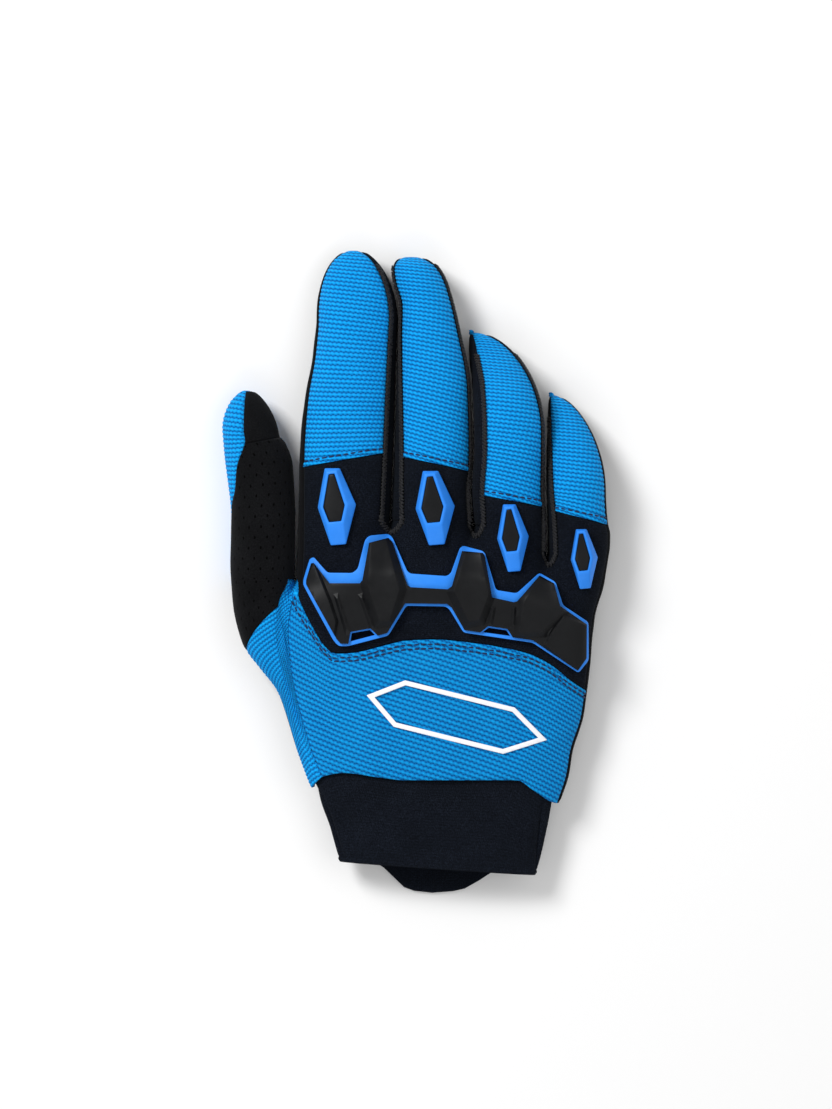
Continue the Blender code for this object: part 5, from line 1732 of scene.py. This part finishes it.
class GLOVE_OT_stage(GloveOperator, bpy.types.Operator):
    """Lay the pale floor, hang the soft lights and set the camera over the back of the glove"""

    bl_idname = "glove.stage"
    bl_label = "Stage"

    def execute(self, context):
        scene = context.scene
        bpy.ops.mesh.primitive_plane_add(size=FLOOR_SIZE, location=(0.0, 0.0, -FLOOR_DROP))
        floor = context.object
        floor.name = "floor"
        material, tree, shader = start_material("pale floor")
        shader.inputs["Base Color"].default_value = (0.90, 0.90, 0.90, 1.0)
        shader.inputs["Roughness"].default_value = 0.9
        floor.data.materials.append(material)
        world = bpy.data.worlds.new("studio")
        world.use_nodes = True
        background = world.node_tree.nodes["Background"]
        background.inputs["Color"].default_value = (1.0, 1.0, 1.0, 1.0)
        background.inputs["Strength"].default_value = WORLD_LIGHT
        scene.world = world
        for lamp in LAMPS:
            light = bpy.data.lights.new(lamp.name, "AREA")
            light.energy = lamp.power
            light.size = lamp.size
            holder = bpy.data.objects.new(lamp.name, light)
            holder.location = lamp.place
            holder.rotation_euler = (-Vector(lamp.place)).to_track_quat("-Z", "Y").to_euler()
            scene.collection.objects.link(holder)
        camera = bpy.data.cameras.new("camera")
        camera.sensor_width = 36.0
        reach = VIEW_DISTANCE - SIDE_SEAM_HEIGHT
        camera.lens = camera.sensor_width * reach / (FRAME_HEIGHT_PX * PHOTO_SCALE * MM)
        holder = bpy.data.objects.new("camera", camera)
        holder.location = (0.0, VIEW_CENTRE_Y * MM, VIEW_DISTANCE)
        scene.collection.objects.link(holder)
        scene.camera = holder
        scene.view_settings.view_transform = "Standard"
        return {"FINISHED"}


def length_property(name, description, millimetres):
    return FloatProperty(
        name=name, description=description, default=millimetres * MM, unit="LENGTH", precision=5,
    )


class GloveSizes(bpy.types.PropertyGroup):
    """Sizes that a maker would change"""

    finger_rib: length_property("Finger Rib", "Distance between ribs on the fingers", 1.6)
    back_rib: length_property("Back Rib", "Distance between ribs on the back", 1.72)
    rib_height: length_property("Rib Height", "Height of a knitted rib", 0.3)
    stitch_gauge: length_property("Stitch Gauge", "Distance between the holes in a groove", 1.75)
    cloth: length_property("Cloth", "Thickness of the knitted cloth", 1.1)
    topstitch: length_property("Topstitch", "Distance between topstitches", 2.4)
    punch_pitch: length_property("Punch Pitch", "Distance between the punched holes", 4.4)
    guard_bevel: length_property("Guard Bevel", "Rounding of the moulded edges", 0.35)


def colour_property(name, description, default):
    return FloatVectorProperty(
        name=name, description=description, default=default, subtype="COLOR", size=3, min=0.0, max=1.0,
    )


class GloveColours(bpy.types.PropertyGroup):
    """Colours that a maker would change"""

    knit: colour_property("Knit", "Blue knit", (0.0, 0.235, 0.680))
    # Painted highlight: the lighter colour that the crests of the ribs are painted.
    knit_crest_highlight: colour_property("Knit Light", "Crest of a blue rib", (0.004, 0.440, 1.0))
    # Painted shade: the darker colour that the grooves and holes between the ribs are painted.
    knit_groove_shade: colour_property("Knit Dark", "Groove between blue ribs", (0.0, 0.030, 0.170))
    jersey: colour_property("Jersey", "Black knuckle jersey", (0.0008, 0.0012, 0.0022))
    jersey_light: colour_property("Jersey Light", "Fibres of the black jersey", (0.012, 0.016, 0.026))
    strip: colour_property("Strip", "Black side strips", (0.0008, 0.0010, 0.0016))
    elastic: colour_property("Elastic", "Black cuff", (0.0014, 0.0019, 0.0032))
    suede: colour_property("Suede", "Black suede", (0.0016, 0.0016, 0.0019))
    suede_light: colour_property("Suede Light", "Nap of the suede", (0.018, 0.019, 0.021))
    blue_rubber: colour_property("Blue Rubber", "Blue guards", (0.022, 0.235, 0.860))
    blue_rubber_light: colour_property("Blue Rubber Light", "Scuffs on the blue guards", (0.045, 0.29, 0.93))
    black_rubber: colour_property("Black Rubber", "Black cores", (0.0028, 0.0032, 0.0040))
    black_rubber_light: colour_property("Black Rubber Light", "Scuffs on the cores", (0.007, 0.0075, 0.009))
    blue_thread: colour_property("Blue Thread", "Topstitching", (0.0, 0.008, 0.045))
    black_thread: colour_property("Black Thread", "Overlock", (0.003, 0.003, 0.004))
    print_white: colour_property("Print", "White print on the back", (0.88, 0.88, 0.92))


STEPS = (
    GLOVE_OT_stage,
    GLOVE_OT_back_panel,
    GLOVE_OT_knuckle_panel,
    GLOVE_OT_finger_backs,
    GLOVE_OT_side_strips,
    GLOVE_OT_palm,
    GLOVE_OT_thumb,
    GLOVE_OT_cuff,
    GLOVE_OT_pull_tab,
    GLOVE_OT_knuckle_guard,
    GLOVE_OT_finger_guards,
    GLOVE_OT_stitching,
    GLOVE_OT_motif,
)


class GLOVE_PT_panel(bpy.types.Panel):
    """Lists the steps of the glove"""

    bl_idname = "GLOVE_PT_panel"
    bl_label = "Glove"
    bl_space_type = "VIEW_3D"
    bl_region_type = "UI"
    bl_category = "Glove"

    def draw(self, context):
        for step in STEPS:
            self.layout.operator(step.bl_idname)
        for group in (context.scene.glove_sizes, context.scene.glove_colours):
            box = self.layout.box()
            for name in group.bl_rna.properties.keys():
                if name not in ("rna_type", "name"):
                    box.prop(group, name)


CLASSES = (GloveSizes, GloveColours, *STEPS, GLOVE_PT_panel)


def register():
    for item in CLASSES:
        bpy.utils.register_class(item)
    bpy.types.Scene.glove_sizes = PointerProperty(type=GloveSizes)
    bpy.types.Scene.glove_colours = PointerProperty(type=GloveColours)


def unregister():
    del bpy.types.Scene.glove_sizes
    del bpy.types.Scene.glove_colours
    for item in reversed(CLASSES):
        bpy.utils.unregister_class(item)


def main():
    register()
    for step in STEPS:
        group, name = step.bl_idname.split(".")
        getattr(getattr(bpy.ops, group), name)()


if __name__ == "__main__":
    main()
